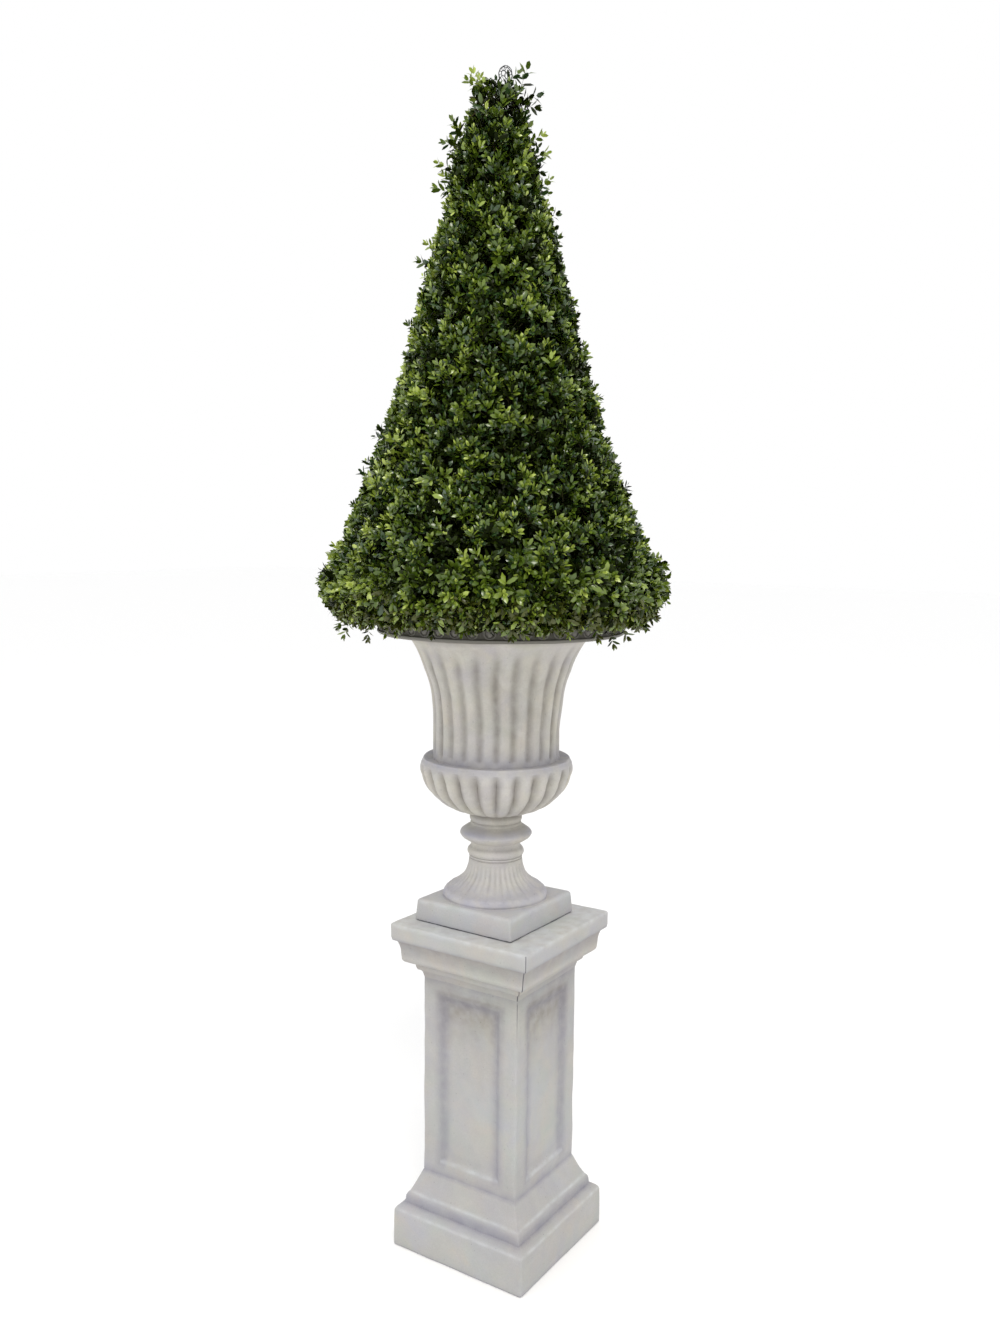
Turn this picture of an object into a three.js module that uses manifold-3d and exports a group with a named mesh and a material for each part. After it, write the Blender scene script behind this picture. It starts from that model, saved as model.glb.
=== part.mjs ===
// A clipped boxwood cone in a fluted urn, standing on a square panelled pedestal.
// Millimetres, +Z up. The origin is under the middle of the pedestal's foot, and the
// pedestal's sides face +-X and +-Y. Heights are above the ground.

import * as THREE from 'three';
import { mergeVertices } from 'three/addons/utils/BufferGeometryUtils.js';
import Module from 'manifold-3d';

const wasm = await Module();
wasm.setup();

const clearance = 0.3;        // left between pieces that sit in or around each other

// pedestal: half-widths of its square courses and the heights where they meet
const plinthHalf = 176;
const plinthFaceTop = 89.5;
const plinthTop = 103;
const baseHalf = 157;
const baseTop = 180;
const shaftHalf = 125.4;
const shaftTop = 641;
const corniceHalf = 171;
const capBottom = 731.4;
const capHalf = 180;
const capTop = 771.2;
const capEdge = 3;            // softened edge of the cap slab
const panelHalfWidth = 80;    // recessed panel, at the shaft's face
const panelBottom = 207;
const panelHeight = 400;
const panelSlope = 10;        // width of the soft slope round the panel
const panelDepth = 6;

// urn: it stands a little off the pedestal's middle, and is turned by less than a degree
const urnOffset = new THREE.Vector2(-14.7, -4.5);
const urnTurn = THREE.MathUtils.degToRad(-0.8);
const footHalf = 129.2;
const footTop = 823;
const socleTop = 911;
const neckRadius = 60;
const knopTop = 1011;
const collarBottom = 1106;
const bowlRadius = 168;
const collarTop = 1156;
const bellRadius = 144;       // at its foot, inside the collar
const bellShoulder = 188;     // where the flutes end
const bellTop = 1425;
const bellLip = 258;
const wallThickness = 16;
const bellFloor = 18;
const fluteCount = 24;
const stepsPerFlute = 4;
const fluteTurn = THREE.MathUtils.degToRad(4.2);
const fluteDepth = 6;
const ridgeFall = 0.16;       // share of the depth a quarter of the way across a flute

// dark ring round the urn's mouth
const rimOffset = new THREE.Vector2(6, 4);
const rimRadius = 275;
const rimInnerRadius = 246;
const rimHeight = 43;
const fillingTop = bellTop + 27;

// topiary: its axis stands a little beside the urn's
const coneOffset = new THREE.Vector2(-9.4, -6.2);
const coneTop = 2629;
const coneShoulder = 2609;    // above it the clipped surface keeps its radius
const shoulderRadius = 80;
const coneEdge = 1540;        // height of the widest leaves
const coneRadius = 388;
const coneHollowing = 1.37;   // above 1, the cone's side curves inwards
const skirtBottom = 1400;     // the lowest leaves, hanging outside the urn's ring
const strayReach = 3;         // how far a leaf may stand out of the clipped surface
const skirtTuck = 56;         // how far the clipped surface tucks in below its edge
const coreUnderside = 1476;
const coreTop = 2550;
const coreInset = 52;         // from the clipped surface in to the dense core
const coreShare = 0.5;        // but never more than this share of the radius
const coreSides = 18;
const ringSpacing = 110;      // between the rings of points on a core
const massJoints = [1715, 2130];    // heights where one mass of foliage meets the next
const jointRise = 0.9;        // how fast a joint climbs outside the core
const jointGap = 3;
const rimGap = 4;             // between the leaves and the urn's ring

// sprigs: a three-sided twig with opposite leaves, larger than life
const sprigCounts = [42, 33, 18];
const topSprigs = 3;
const topSpread = 12;
const topLift = 1.3;          // lifts and turns are in radians
const sideLift = 0.7;
const skirtLift = [-1.2, 0.6];     // at the core's underside, and the most above it
const skirtLiftHeight = 70;   // height over which the lift grows by one radian
const wander = 0.5;
const shortestTwig = 7;
const seatMargin = 14;       // kept between a sprig's foot and the mass below
const twigSink = 16;
const twigRadius = 4.5;
const twigTaper = 0.6;
const leafLength = 76;
const leafWidth = 44;
const leafThickness = 6;
const leafSink = 1;
const widestShift = 0.2;      // a leaf is widest past its middle
const pairShares = [0.4, 0.78];     // where the pairs stand along a twig
const leafSpread = 0.95;
const leafSizes = [0.65, 0.95];
const tipLeafSize = 0.58;

const stemTop = 1650;
const stemTopRadius = 14;
const stemRadius = 21;
const stemFlare = 13;         // added to the radius where it meets the soil
const stemSides = 12;

const paleStone = { color: 0xb9b7b2, roughness: 0.82 };
const warmStone = { color: 0xc2bdb1, roughness: 0.8 };
const slateGrey = { color: 0x55565f, roughness: 0.6 };
const darkSoil = { color: 0x2b231c, roughness: 0.95 };
const barkBrown = { color: 0x6b5a48, roughness: 0.9 };
const leafGreen = { color: 0x3a5f22, roughness: 0.55 };

// ---- solids ----

// One closed body with shared corners, without the empty triangles at a lathe's poles.
function weld(geometry) {
  geometry.deleteAttribute('normal');
  geometry.deleteAttribute('uv');
  const welded = mergeVertices(geometry, 1e-3);
  const corners = welded.index.array;
  const kept = [];
  for (let i = 0; i < corners.length; i += 3) {
    const [a, b, c] = corners.slice(i, i + 3);
    if (a !== b && b !== c && c !== a) kept.push(a, b, c);
  }
  welded.setIndex(kept);
  return welded;
}

function toSolid(geometry) {
  const welded = weld(geometry);
  return new wasm.Manifold(new wasm.Mesh({
    numProp: 3,
    vertProperties: new Float32Array(welded.attributes.position.array),
    triVerts: new Uint32Array(welded.index.array),
  }));
}

function toGeometry(solid) {
  const mesh = solid.getMesh();
  const geometry = new THREE.BufferGeometry();
  geometry.setAttribute('position', new THREE.BufferAttribute(mesh.vertProperties, 3));
  geometry.setIndex(new THREE.BufferAttribute(mesh.triVerts, 1));
  return geometry;
}

function piece(name, geometry, finish) {
  geometry.computeVertexNormals();
  const material = new THREE.MeshStandardMaterial({ metalness: 0, flatShading: true, ...finish });
  const mesh = new THREE.Mesh(geometry, material);
  mesh.name = name;
  return mesh;
}

// A profile of [radius, height] pairs turned about Z. It starts and ends on the axis, or it
// goes up the outside and down the inside and closes on itself.
function turned(profile, sides, startAngle = 0) {
  const points = profile.map(([radius, height]) => new THREE.Vector2(radius, height));
  const geometry = new THREE.LatheGeometry(points, sides, startAngle);
  geometry.rotateX(Math.PI / 2);
  return geometry;
}

// An outline from bottom to top, closed to the axis by a flat underside and a flat top.
function capped(outline) {
  const bottom = outline[0][1];
  const top = outline[outline.length - 1][1];
  return [[0, bottom], ...outline, [0, top]];
}

// A square course: the first number of each pair is half the course's width.
function squareCourse(outline) {
  const corners = outline.map(([half, height]) => [half * Math.SQRT2, height]);
  return weld(turned(capped(corners), 4, Math.PI / 4));
}

// ---- pedestal ----

function plinthBlock() {
  return squareCourse([
    [plinthHalf, 0],
    [plinthHalf, plinthFaceTop],
    [baseHalf, plinthTop],
  ]);
}

function baseMoulding() {
  return squareCourse([
    [baseHalf, plinthTop],
    [baseHalf - 2, plinthTop + 15],
    [baseHalf - 8, plinthTop + 24],
    [shaftHalf + 15, plinthTop + 44],
    [shaftHalf + 4, plinthTop + 68],
    [shaftHalf, baseTop],
  ]);
}

// The pocket of a panel in the side that faces -Y: its walls slope in to a smaller floor.
function panelPocket() {
  const proud = 1;
  const pocket = new THREE.BoxGeometry(2 * panelHalfWidth, panelDepth + proud, panelHeight);
  const position = pocket.attributes.position;
  for (let i = 0; i < position.count; i++) {
    if (position.getY(i) < 0) continue;
    position.setX(i, position.getX(i) - Math.sign(position.getX(i)) * panelSlope);
    position.setZ(i, position.getZ(i) - Math.sign(position.getZ(i)) * panelSlope);
  }
  const middle = -shaftHalf + (panelDepth - proud) / 2;
  return pocket.translate(0, middle, panelBottom + panelHeight / 2);
}

function pedestalShaft() {
  let shaft = toSolid(squareCourse([[shaftHalf, baseTop], [shaftHalf, shaftTop]]));
  for (let side = 0; side < 4; side++) {
    shaft = shaft.subtract(toSolid(panelPocket().rotateZ(side * Math.PI / 2)));
  }
  return toGeometry(shaft);
}

function cornice() {
  return squareCourse([
    [shaftHalf, shaftTop],
    [shaftHalf + 3, shaftTop + 13],
    [shaftHalf + 10.5, shaftTop + 19],
    [shaftHalf + 14, shaftTop + 32],
    [corniceHalf - 17, shaftTop + 37],
    [corniceHalf - 11, shaftTop + 46],
    [corniceHalf - 7, shaftTop + 69],
    [corniceHalf, capBottom],
  ]);
}

function capSlab() {
  return squareCourse([
    [capHalf - capEdge, capBottom],
    [capHalf, capBottom + capEdge],
    [capHalf, capTop - capEdge],
    [capHalf - capEdge, capTop],
  ]);
}

// ---- urn ----

// A turned piece whose outside is pushed in along even grooves. Each point of the outline
// also has the grooves' depth there, and the ridges between them stay broad and round.
function fluted(outline, inside = []) {
  const profile = outline.map(([radius, height]) => [radius, height]);
  const top = inside.length ? [...inside, [0, inside[inside.length - 1][1]]] : [[0, collarBottom]];
  const points = [[0, profile[0][1]], ...profile, ...top];
  const depths = points.map((point, i) => (i > 0 && i <= outline.length ? outline[i - 1][2] : 0));
  const geometry = turned(points, fluteCount * stepsPerFlute, fluteTurn);
  const position = geometry.attributes.position;
  for (let i = 0; i < position.count; i++) {
    const depth = depths[i % points.length];
    if (!depth) continue;
    const step = Math.floor(i / points.length) % stepsPerFlute;
    const share = [1, ridgeFall, 0, ridgeFall][step];
    const scale = 1 - depth * share / Math.hypot(position.getX(i), position.getY(i));
    position.setX(i, position.getX(i) * scale);
    position.setY(i, position.getY(i) * scale);
  }
  return weld(geometry);
}

function urnFootPlate() {
  return squareCourse([
    [footHalf, capTop],
    [footHalf - 3.5, footTop - 7],
    [footHalf - 9, footTop],
  ]);
}

function urnSocle() {
  return weld(turned(capped([
    [113, footTop],
    [116, footTop + 6],
    [114, footTop + 14],
    [109, footTop + 25],
    [92, footTop + 37],
    [75, footTop + 54],
    [66, footTop + 70],
    [62, footTop + 84],
    [neckRadius, socleTop],
  ]), 32));
}

function urnKnop() {
  return weld(turned(capped([
    [neckRadius, socleTop],
    [neckRadius + 4, socleTop + 12],
    [neckRadius + 1, socleTop + 22],
    [neckRadius - 4, socleTop + 30],
    [neckRadius + 5, socleTop + 39],
    [neckRadius + 17, socleTop + 46],
    [neckRadius + 21.5, socleTop + 56],
    [neckRadius + 16, socleTop + 66],
    [neckRadius - 2, socleTop + 77],
    [neckRadius, socleTop + 88],
    [neckRadius - 1, knopTop],
  ]), 28));
}

function urnBowl() {
  return fluted([
    [neckRadius - 1, knopTop, 0],
    [85, knopTop + 9, 3],
    [115, knopTop + 23, 6],
    [139, knopTop + 43, 7],
    [157, knopTop + 66, 7],
    [bowlRadius - 1, knopTop + 86, 3],
    [bowlRadius, collarBottom, 0],
  ]);
}

function urnCollar() {
  return weld(turned(capped([
    [bowlRadius, collarBottom],
    [bowlRadius + 6, collarBottom + 9],
    [bowlRadius + 4, collarBottom + 24],
    [bowlRadius - 3, collarBottom + 39],
    [bowlRadius - 10, collarTop - 3],
    [bellRadius + 5, collarTop],
  ]), 44));
}

// The bell's inner wall, from its mouth down to its floor.
function bellInside() {
  return [
    [rimInnerRadius - 14, bellTop],
    [bellShoulder - wallThickness - 2, bellTop - 36],
    [bellRadius - wallThickness + 3, 1275],
    [bellRadius - wallThickness, collarTop + bellFloor],
  ];
}

function urnBell() {
  return fluted([
    [bellRadius, collarTop, 4],
    [bellRadius, 1215, fluteDepth],
    [150, 1278, fluteDepth],
    [166, 1336, fluteDepth],
    [bellShoulder, 1390, 3],
    [213, 1410, 0],
    [bellLip, bellTop - 3, 0],
    [bellLip, bellTop, 0],
  ], bellInside());
}

function potFilling() {
  const wall = bellInside().reverse();
  const outline = wall.map(([radius, height]) => [radius - clearance, height + clearance]);
  outline.push([rimInnerRadius - 14 - clearance, fillingTop]);
  return weld(turned(capped(outline), fluteCount, fluteTurn));
}

function urnRim() {
  const top = bellTop + rimHeight;
  return weld(turned([
    [rimInnerRadius, bellTop],
    [rimRadius - 4, bellTop],
    [rimRadius, bellTop + 5],
    [rimRadius - 3, bellTop + 14],
    [rimRadius, top - 8],
    [rimRadius - 5, top],
    [rimInnerRadius, top],
    [rimInnerRadius, bellTop],
  ], 48));
}

// ---- stem ----

function stem(extra = 0) {
  const foot = fillingTop + clearance - extra;
  return weld(turned(capped([
    [stemRadius + stemFlare + extra, foot],
    [stemRadius + stemFlare * 0.35 + extra, foot + 12],
    [stemRadius + extra, foot + 34],
    [stemTopRadius + extra, stemTop + extra],
  ]), stemSides));
}

// ---- foliage ----

// Small seeded generator, so that the sprigs always fall in the same places.
function seededRandom(seed) {
  let state = seed;
  return () => {
    state = (Math.imul(state, 1664525) + 1013904223) >>> 0;
    return state / 4294967296;
  };
}

// Radius of the clipped surface at a height: a hollow-sided cone over a rounded skirt.
function clippedRadius(height) {
  if (height < coneEdge) {
    const under = (coneEdge - height) / (coneEdge - skirtBottom);
    return coneRadius - skirtTuck * under * under;
  }
  const down = Math.max(0, (coneShoulder - height) / (coneShoulder - coneEdge));
  return shoulderRadius + (coneRadius - shoulderRadius) * down ** coneHollowing;
}

function coreRadius(height) {
  const radius = clippedRadius(height);
  return radius - Math.min(coreInset, radius * coreShare);
}

function jointHeight(joint, radius) {
  return joint + jointRise * Math.max(0, radius - coreRadius(joint));
}

// Each mass keeps to the space between two joints that climb outwards, inside the clipped
// surface and clear of the urn's ring.
function insideSpace(point, [lower, upper]) {
  const radius = Math.hypot(point.x, point.y);
  if (point.z > coneTop || point.z < skirtBottom) return false;
  if (radius > clippedRadius(point.z) + strayReach) return false;
  if (lower && point.z < jointHeight(lower, radius) + jointGap) return false;
  if (upper && point.z > jointHeight(upper, radius) - jointGap) return false;
  const ringReach = rimRadius + coneOffset.distanceTo(rimOffset) + rimGap;
  return radius > ringReach || point.z > bellTop + rimHeight + rimGap;
}

function staysInside(geometry, space) {
  const position = geometry.attributes.position;
  for (let i = 0; i < position.count; i++) {
    if (!insideSpace(new THREE.Vector3().fromBufferAttribute(position, i), space)) return false;
  }
  return true;
}

// How far a straight line runs before it leaves the space.
function reachAlong(origin, direction, space) {
  const step = 2;
  const point = origin.clone();
  let reach = 0;
  while (reach < 2 * coreInset && insideSpace(point.addScaledVector(direction, step), space)) {
    reach += step;
  }
  return reach;
}

// Three-sided twig along +Y, its foot sunk below the origin.
function twigShape(length) {
  const shape = new THREE.CylinderGeometry(twigRadius * twigTaper, twigRadius, length + twigSink, 3);
  return shape.translate(0, (length - twigSink) / 2, 0);
}

// Leaf of eight faces along +Y, with its root sunk below the origin.
function leafShape(size) {
  const shape = new THREE.OctahedronGeometry(1);
  const position = shape.attributes.position;
  const half = (leafLength * size + leafSink) / 2;
  for (let i = 0; i < position.count; i++) {
    const along = Math.round(position.getY(i));
    const widest = along === 0 ? half * widestShift : 0;
    position.setXYZ(
      i,
      position.getX(i) * leafThickness / 2,
      half - leafSink + along * half + widest,
      position.getZ(i) * leafWidth * size / 2,
    );
  }
  return shape;
}

// Leaf on a twig that runs along +Y: swung out from it, then turned round it.
function leafOnTwig(share, length, angle, size) {
  return leafShape(size).rotateZ(-leafSpread).rotateY(angle).translate(0, share * length, 0);
}

// One sprig: a twig just long enough for its tip leaf to meet the clipped surface, and pairs
// of leaves, each pair a quarter turn on. A leaf that would leave the space is skipped.
function sprigParts(origin, direction, random, space) {
  const length = reachAlong(origin, direction, space) - leafLength * tipLeafSize;
  if (length < shortestTwig) return [];
  const parts = [twigShape(length), leafShape(tipLeafSize).translate(0, length - leafSink, 0)];
  pairShares.forEach((share, pair) => {
    for (const half of [0, Math.PI]) {
      const size = THREE.MathUtils.lerp(...leafSizes, random());
      parts.push(leafOnTwig(share, length, pair * Math.PI / 2 + half, size));
    }
  });
  const turn = new THREE.Quaternion().setFromUnitVectors(new THREE.Vector3(0, 1, 0), direction);
  const twist = random() * Math.PI;
  for (const part of parts) {
    part.rotateY(twist).applyQuaternion(turn).translate(origin.x, origin.y, origin.z);
  }
  const [twig, tipLeaf, ...sideLeaves] = parts;
  if (!staysInside(twig, space) || !staysInside(tipLeaf, space)) return [];
  return [twig, tipLeaf, ...sideLeaves.filter((leaf) => staysInside(leaf, space))];
}

// Where sprigs stand on a core: evenly by area, and round the axis by the golden angle.
function sprigPlaces(count, low, high, random) {
  const steps = 200;
  const heights = Array.from({ length: steps }, (_, i) => low + (high - low) * (i + 0.5) / steps);
  const total = heights.reduce((sum, height) => sum + coreRadius(height), 0);
  const places = [];
  let sum = 0;
  for (const height of heights) {
    sum += coreRadius(height);
    if (sum / total * count > places.length + 0.5) {
      places.push({ height, angle: places.length * Math.PI * (3 - Math.sqrt(5)) + wander * random() });
    }
  }
  return places;
}

function sprigDirection(angle, lift, random) {
  const swung = angle + wander * (random() - 0.5);
  const lifted = lift + wander * (random() - 0.5);
  const out = Math.cos(lifted);
  return new THREE.Vector3(Math.cos(swung) * out, Math.sin(swung) * out, Math.sin(lifted));
}

function onCore(angle, height) {
  const radius = coreRadius(height) * Math.cos(Math.PI / coreSides);
  return new THREE.Vector3(radius * Math.cos(angle), radius * Math.sin(angle), height);
}

function coreSolid(low, high) {
  const rings = Math.round((high - low) / ringSpacing);
  const outline = [];
  for (let i = 0; i <= rings; i++) {
    const height = low + (high - low) * i / rings;
    outline.push([coreRadius(height), height]);
  }
  return toSolid(turned(capped(outline), coreSides));
}

function grownMass(index, [low, high], space, liftAt) {
  const random = seededRandom(7 + index);
  let mass = coreSolid(low, high);
  for (const { height, angle } of sprigPlaces(sprigCounts[index], low + seatMargin, high, random)) {
    const direction = sprigDirection(angle, liftAt(height), random);
    for (const part of sprigParts(onCore(angle, height), direction, random, space)) {
      mass = mass.add(toSolid(part));
    }
  }
  return mass;
}

// The largest closed body alone: loose scraps go, and a hollow sealed by leaves is filled.
function largestBody(solid) {
  const bodies = solid.decompose();
  bodies.sort((a, b) => b.volume() - a.volume());
  return toGeometry(bodies[0]);
}

function foliageSkirt() {
  const [least, most] = skirtLift;
  const liftAt = (height) => Math.min(most, least + (height - coreUnderside) / skirtLiftHeight);
  const heights = [coreUnderside, massJoints[0] - clearance / 2];
  const mass = grownMass(0, heights, [0, massJoints[0]], liftAt);
  return largestBody(mass.subtract(toSolid(stem(clearance))));
}

function foliageMiddle() {
  const heights = [massJoints[0] + clearance / 2, massJoints[1] - clearance / 2];
  return largestBody(grownMass(1, heights, massJoints, () => sideLift));
}

// The tip also has sprigs on its flat top, which carry the plant to its full height.
function foliageTip() {
  const space = [massJoints[1], 0];
  let mass = grownMass(2, [massJoints[1] + clearance / 2, coreTop], space, () => sideLift);
  const random = seededRandom(11);
  for (let i = 0; i < topSprigs; i++) {
    const angle = i / topSprigs * 2 * Math.PI;
    const origin = new THREE.Vector3(topSpread * Math.cos(angle), topSpread * Math.sin(angle), coreTop);
    const direction = sprigDirection(angle, topLift, random);
    for (const part of sprigParts(origin, direction, random, space)) {
      mass = mass.add(toSolid(part));
    }
  }
  return largestBody(mass);
}

// ---- assembly ----

const pedestal = new THREE.Group();
pedestal.add(
  piece('plinth_block', plinthBlock(), paleStone),
  piece('base_moulding', baseMoulding(), paleStone),
  piece('pedestal_shaft', pedestalShaft(), paleStone),
  piece('cornice', cornice(), paleStone),
  piece('cap_slab', capSlab(), paleStone),
);

const rim = piece('urn_rim', urnRim(), slateGrey);
rim.position.set(rimOffset.x, rimOffset.y, 0);

const topiary = new THREE.Group();
topiary.position.set(coneOffset.x, coneOffset.y, 0);
topiary.add(
  piece('stem', stem(), barkBrown),
  piece('foliage_skirt', foliageSkirt(), leafGreen),
  piece('foliage_middle', foliageMiddle(), leafGreen),
  piece('foliage_tip', foliageTip(), leafGreen),
);

const urn = new THREE.Group();
urn.position.set(urnOffset.x, urnOffset.y, 0);
urn.rotation.z = urnTurn;
urn.add(
  piece('urn_foot_plate', urnFootPlate(), paleStone),
  piece('urn_socle', urnSocle(), warmStone),
  piece('urn_knop', urnKnop(), warmStone),
  piece('urn_bowl', urnBowl(), warmStone),
  piece('urn_collar', urnCollar(), warmStone),
  piece('urn_bell', urnBell(), warmStone),
  piece('pot_filling', potFilling(), darkSoil),
  rim,
  topiary,
);

const plant = new THREE.Group();
plant.add(pedestal, urn);

export default plant;
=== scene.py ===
import math

import bmesh
import bpy
import numpy as np
from mathutils import Matrix, Vector


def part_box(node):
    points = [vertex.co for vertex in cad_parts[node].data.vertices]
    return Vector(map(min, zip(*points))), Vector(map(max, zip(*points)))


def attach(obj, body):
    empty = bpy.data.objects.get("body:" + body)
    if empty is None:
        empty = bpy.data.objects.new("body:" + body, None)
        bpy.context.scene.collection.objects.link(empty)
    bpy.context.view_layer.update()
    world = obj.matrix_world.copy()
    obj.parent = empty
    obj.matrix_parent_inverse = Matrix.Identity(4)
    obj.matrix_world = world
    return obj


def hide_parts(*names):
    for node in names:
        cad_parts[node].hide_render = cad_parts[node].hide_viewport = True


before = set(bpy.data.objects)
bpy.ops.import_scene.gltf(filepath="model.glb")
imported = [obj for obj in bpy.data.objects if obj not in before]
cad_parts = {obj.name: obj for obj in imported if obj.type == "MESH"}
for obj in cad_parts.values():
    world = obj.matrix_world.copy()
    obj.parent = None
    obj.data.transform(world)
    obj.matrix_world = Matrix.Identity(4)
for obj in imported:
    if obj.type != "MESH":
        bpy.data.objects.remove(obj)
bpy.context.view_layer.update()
scene = bpy.context.scene
mm = 0.001
seedOfAll = 20
goldenAngle = math.pi * (3 - math.sqrt(5))


def hexToLinear(code):
    channels = [int(code[i:i + 2], 16) / 255 for i in (1, 3, 5)]
    linear = [c / 12.92 if c <= 0.04045 else ((c + 0.055) / 1.055) ** 2.4 for c in channels]
    return (*linear, 1)


# From 0 at one value to 1 at another, and flat beyond them.
def rampBetween(value, start, end):
    return np.clip((value - start) / (end - start), 0, 1)


def within(limits, share):
    low, high = limits
    return low + (high - low) * share


# A soft hump of height 1 round a middle.
def humpAt(value, middle, reach):
    return np.exp(-((value - middle) / reach) ** 2)


# Turns two directions, or the coordinates along them, round what stands square to both.
def turnedPair(one, other, angle):
    cosine, sine = np.cos(angle), np.sin(angle)
    return cosine * one + sine * other, cosine * other - sine * one


def middleOf(node):
    low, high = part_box(node)
    return (low.x + high.x) / 2, (low.y + high.y) / 2


# Adds a node and gives one of its outputs. Settings are its properties first and then its inputs,
# by name or number: a value, a hex colour, or another node's output to link. "stops" are a colour
# ramp's places and colours.
def addNode(tree, kind, settings, output=0):
    node = tree.nodes.new("ShaderNode" + kind)
    for key, value in settings.items():
        if isinstance(value, str) and value[0] == "#":
            value = hexToLinear(value)
        if key == "stops":
            ramp = node.color_ramp.elements
            while len(ramp) < len(value):
                ramp.new(0.5)
            for element, (place, colour) in zip(ramp, value):
                element.position = place
                element.color = hexToLinear(colour)
        elif isinstance(value, bpy.types.NodeSocket):
            tree.links.new(value, node.inputs[key])
        elif isinstance(key, int) or key in node.inputs:
            node.inputs[key].default_value = value
        else:
            setattr(node, key, value)
    return node.outputs[output] if len(node.outputs) else None


def newMaterial(name):
    material = bpy.data.materials.new(name)
    material.use_nodes = True
    material.node_tree.nodes.clear()
    return material, material.node_tree


# The place on the object that patterns go by.
def addPlace(tree):
    return addNode(tree, "TexCoord", {}, "Object")


def addNoise(tree, place, size, detail=4, **more):
    return addNode(tree, "TexNoise", {"Vector": place, "Scale": 1 / size, "Detail": detail, **more})


def addRange(tree, value, fromLow, fromHigh, low=0, high=1):
    return addNode(tree, "MapRange", {
        "Value": value, "From Min": fromLow, "From Max": fromHigh, "To Min": low, "To Max": high,
    })


def addMix(tree, factor, under, over, blend="MIX"):
    settings = {"data_type": "RGBA", "blend_type": blend, 0: factor, 6: under, 7: over}
    return addNode(tree, "Mix", settings, 2)


def addSum(tree, value, share, added):
    return addNode(tree, "Math", {"operation": "MULTIPLY_ADD", 0: value, 1: share, 2: added})


def addShader(tree, settings):
    addNode(tree, "OutputMaterial", {"Surface": addNode(tree, "BsdfPrincipled", settings)})


def plainMaterial(name, colour, roughness, **more):
    material, tree = newMaterial(name)
    addShader(tree, {"Base Color": colour, "Roughness": roughness, **more})
    return material


# Tones that follow a noise. Where the noise has only a share, what the attribute "raised" marks
# is further along them.
def mottledMaterial(name, roughness, tones, size, detail=4, share=1, **more):
    material, tree = newMaterial(name)
    tone = addNoise(tree, addPlace(tree), size, detail)
    if share < 1:
        tone = addSum(tree, tone, share, addNode(tree, "Attribute", {"attribute_name": "raised"}, "Fac"))
    colour = addNode(tree, "ValToRGB", {"stops": tones, "Fac": tone})
    addShader(tree, {"Base Color": colour, "Roughness": roughness, **more})
    return material


def objectMode():
    bpy.ops.object.mode_set(mode="OBJECT")


def startClean():
    if bpy.context.object and bpy.context.object.mode != "OBJECT":
        objectMode()
    bpy.ops.object.select_all(action="DESELECT")


def makeActive(piece):
    startClean()
    piece.select_set(True)
    bpy.context.view_layer.objects.active = piece


def selectAll():
    bpy.ops.mesh.select_all(action="SELECT")


def editMode(piece):
    makeActive(piece)
    bpy.ops.object.mode_set(mode="EDIT")
    selectAll()


# Selects vertices, edges or faces in edit mode by a test of each one.
def selectWhere(piece, kind, test):
    bpy.ops.mesh.select_mode(type=kind)
    bpy.ops.mesh.select_all(action="DESELECT")
    mesh = bmesh.from_edit_mesh(piece.data)
    for element in {"VERT": mesh.verts, "EDGE": mesh.edges, "FACE": mesh.faces}[kind]:
        if test(element):
            element.select_set(True)
    mesh.select_flush_mode()
    bmesh.update_edit_mesh(piece.data)


def applyPlace():
    bpy.ops.object.transform_apply(location=True, rotation=True, scale=True)


# Starts a piece from one operator's shape, stretched, and with its place in the mesh.
def shapeFrom(operator, stretch=(1, 1, 1), **settings):
    startClean()
    operator(**settings)
    piece = bpy.context.object
    piece.scale = stretch
    applyPlace()
    return piece


def applyModifier(piece, kind, settings):
    makeActive(piece)
    modifier = piece.modifiers.new(kind.lower(), kind)
    for key, value in settings.items():
        setattr(modifier, key, value)
    bpy.ops.object.modifier_apply(modifier=modifier.name)


def closeNormals(piece):
    editMode(piece)
    bpy.ops.mesh.remove_doubles(threshold=0.01 * mm)
    bpy.ops.mesh.normals_make_consistent(inside=False)
    objectMode()


# A finished piece rides the body and stands for its CAD nodes.
def register(piece, nodes):
    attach(piece, "root")
    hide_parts(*nodes)
    print("made", piece.name, len(piece.data.polygons), "faces")
    return piece


def finishPiece(piece, name, material, nodes, smoothAngle=35):
    makeActive(piece)
    piece.name = name
    piece.data.name = name
    applyPlace()
    bpy.ops.object.shade_smooth_by_angle(angle=math.radians(smoothAngle))
    piece.data.materials.clear()
    piece.data.materials.append(material)
    return register(piece, nodes)


# Many small shapes go into one mesh, straight from arrays.
def joinedMesh(name, points, faces, material, nodes):
    mesh = bpy.data.meshes.new(name)
    mesh.from_pydata(points, [], faces)
    mesh.materials.append(material)
    mesh.polygons.foreach_set("use_smooth", np.ones(len(mesh.polygons), bool))
    piece = bpy.data.objects.new(name, mesh)
    scene.collection.objects.link(piece)
    return register(piece, nodes)


# The camera's heading is to the left of straight on; angles are in degrees.
cameraSettings = {
    "place": (1.4461, -2.2053, 1.6659),
    "heading": 33.45,
    "downTilt": 6.87,
    "roll": 0.57,
    "lens": 32.15,
    "sensor": 36,
}

# Each light is its place, size, power and colour.
lightSettings = {
    "worldColour": "#ffffff",
    "worldStrength": 1.0,
    "keyLight": ((1.9, -2.4, 5.6), 2.0, 118, "#fffaf1"),
    "fillLight": ((-2.4, -3.0, 2.6), 2.4, 12, "#f3f7ff"),
    "aim": (0, 0, 1.6),
}

floorSettings = {"size": 60, "colour": "#fefefe", "roughness": 0.9}


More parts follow.
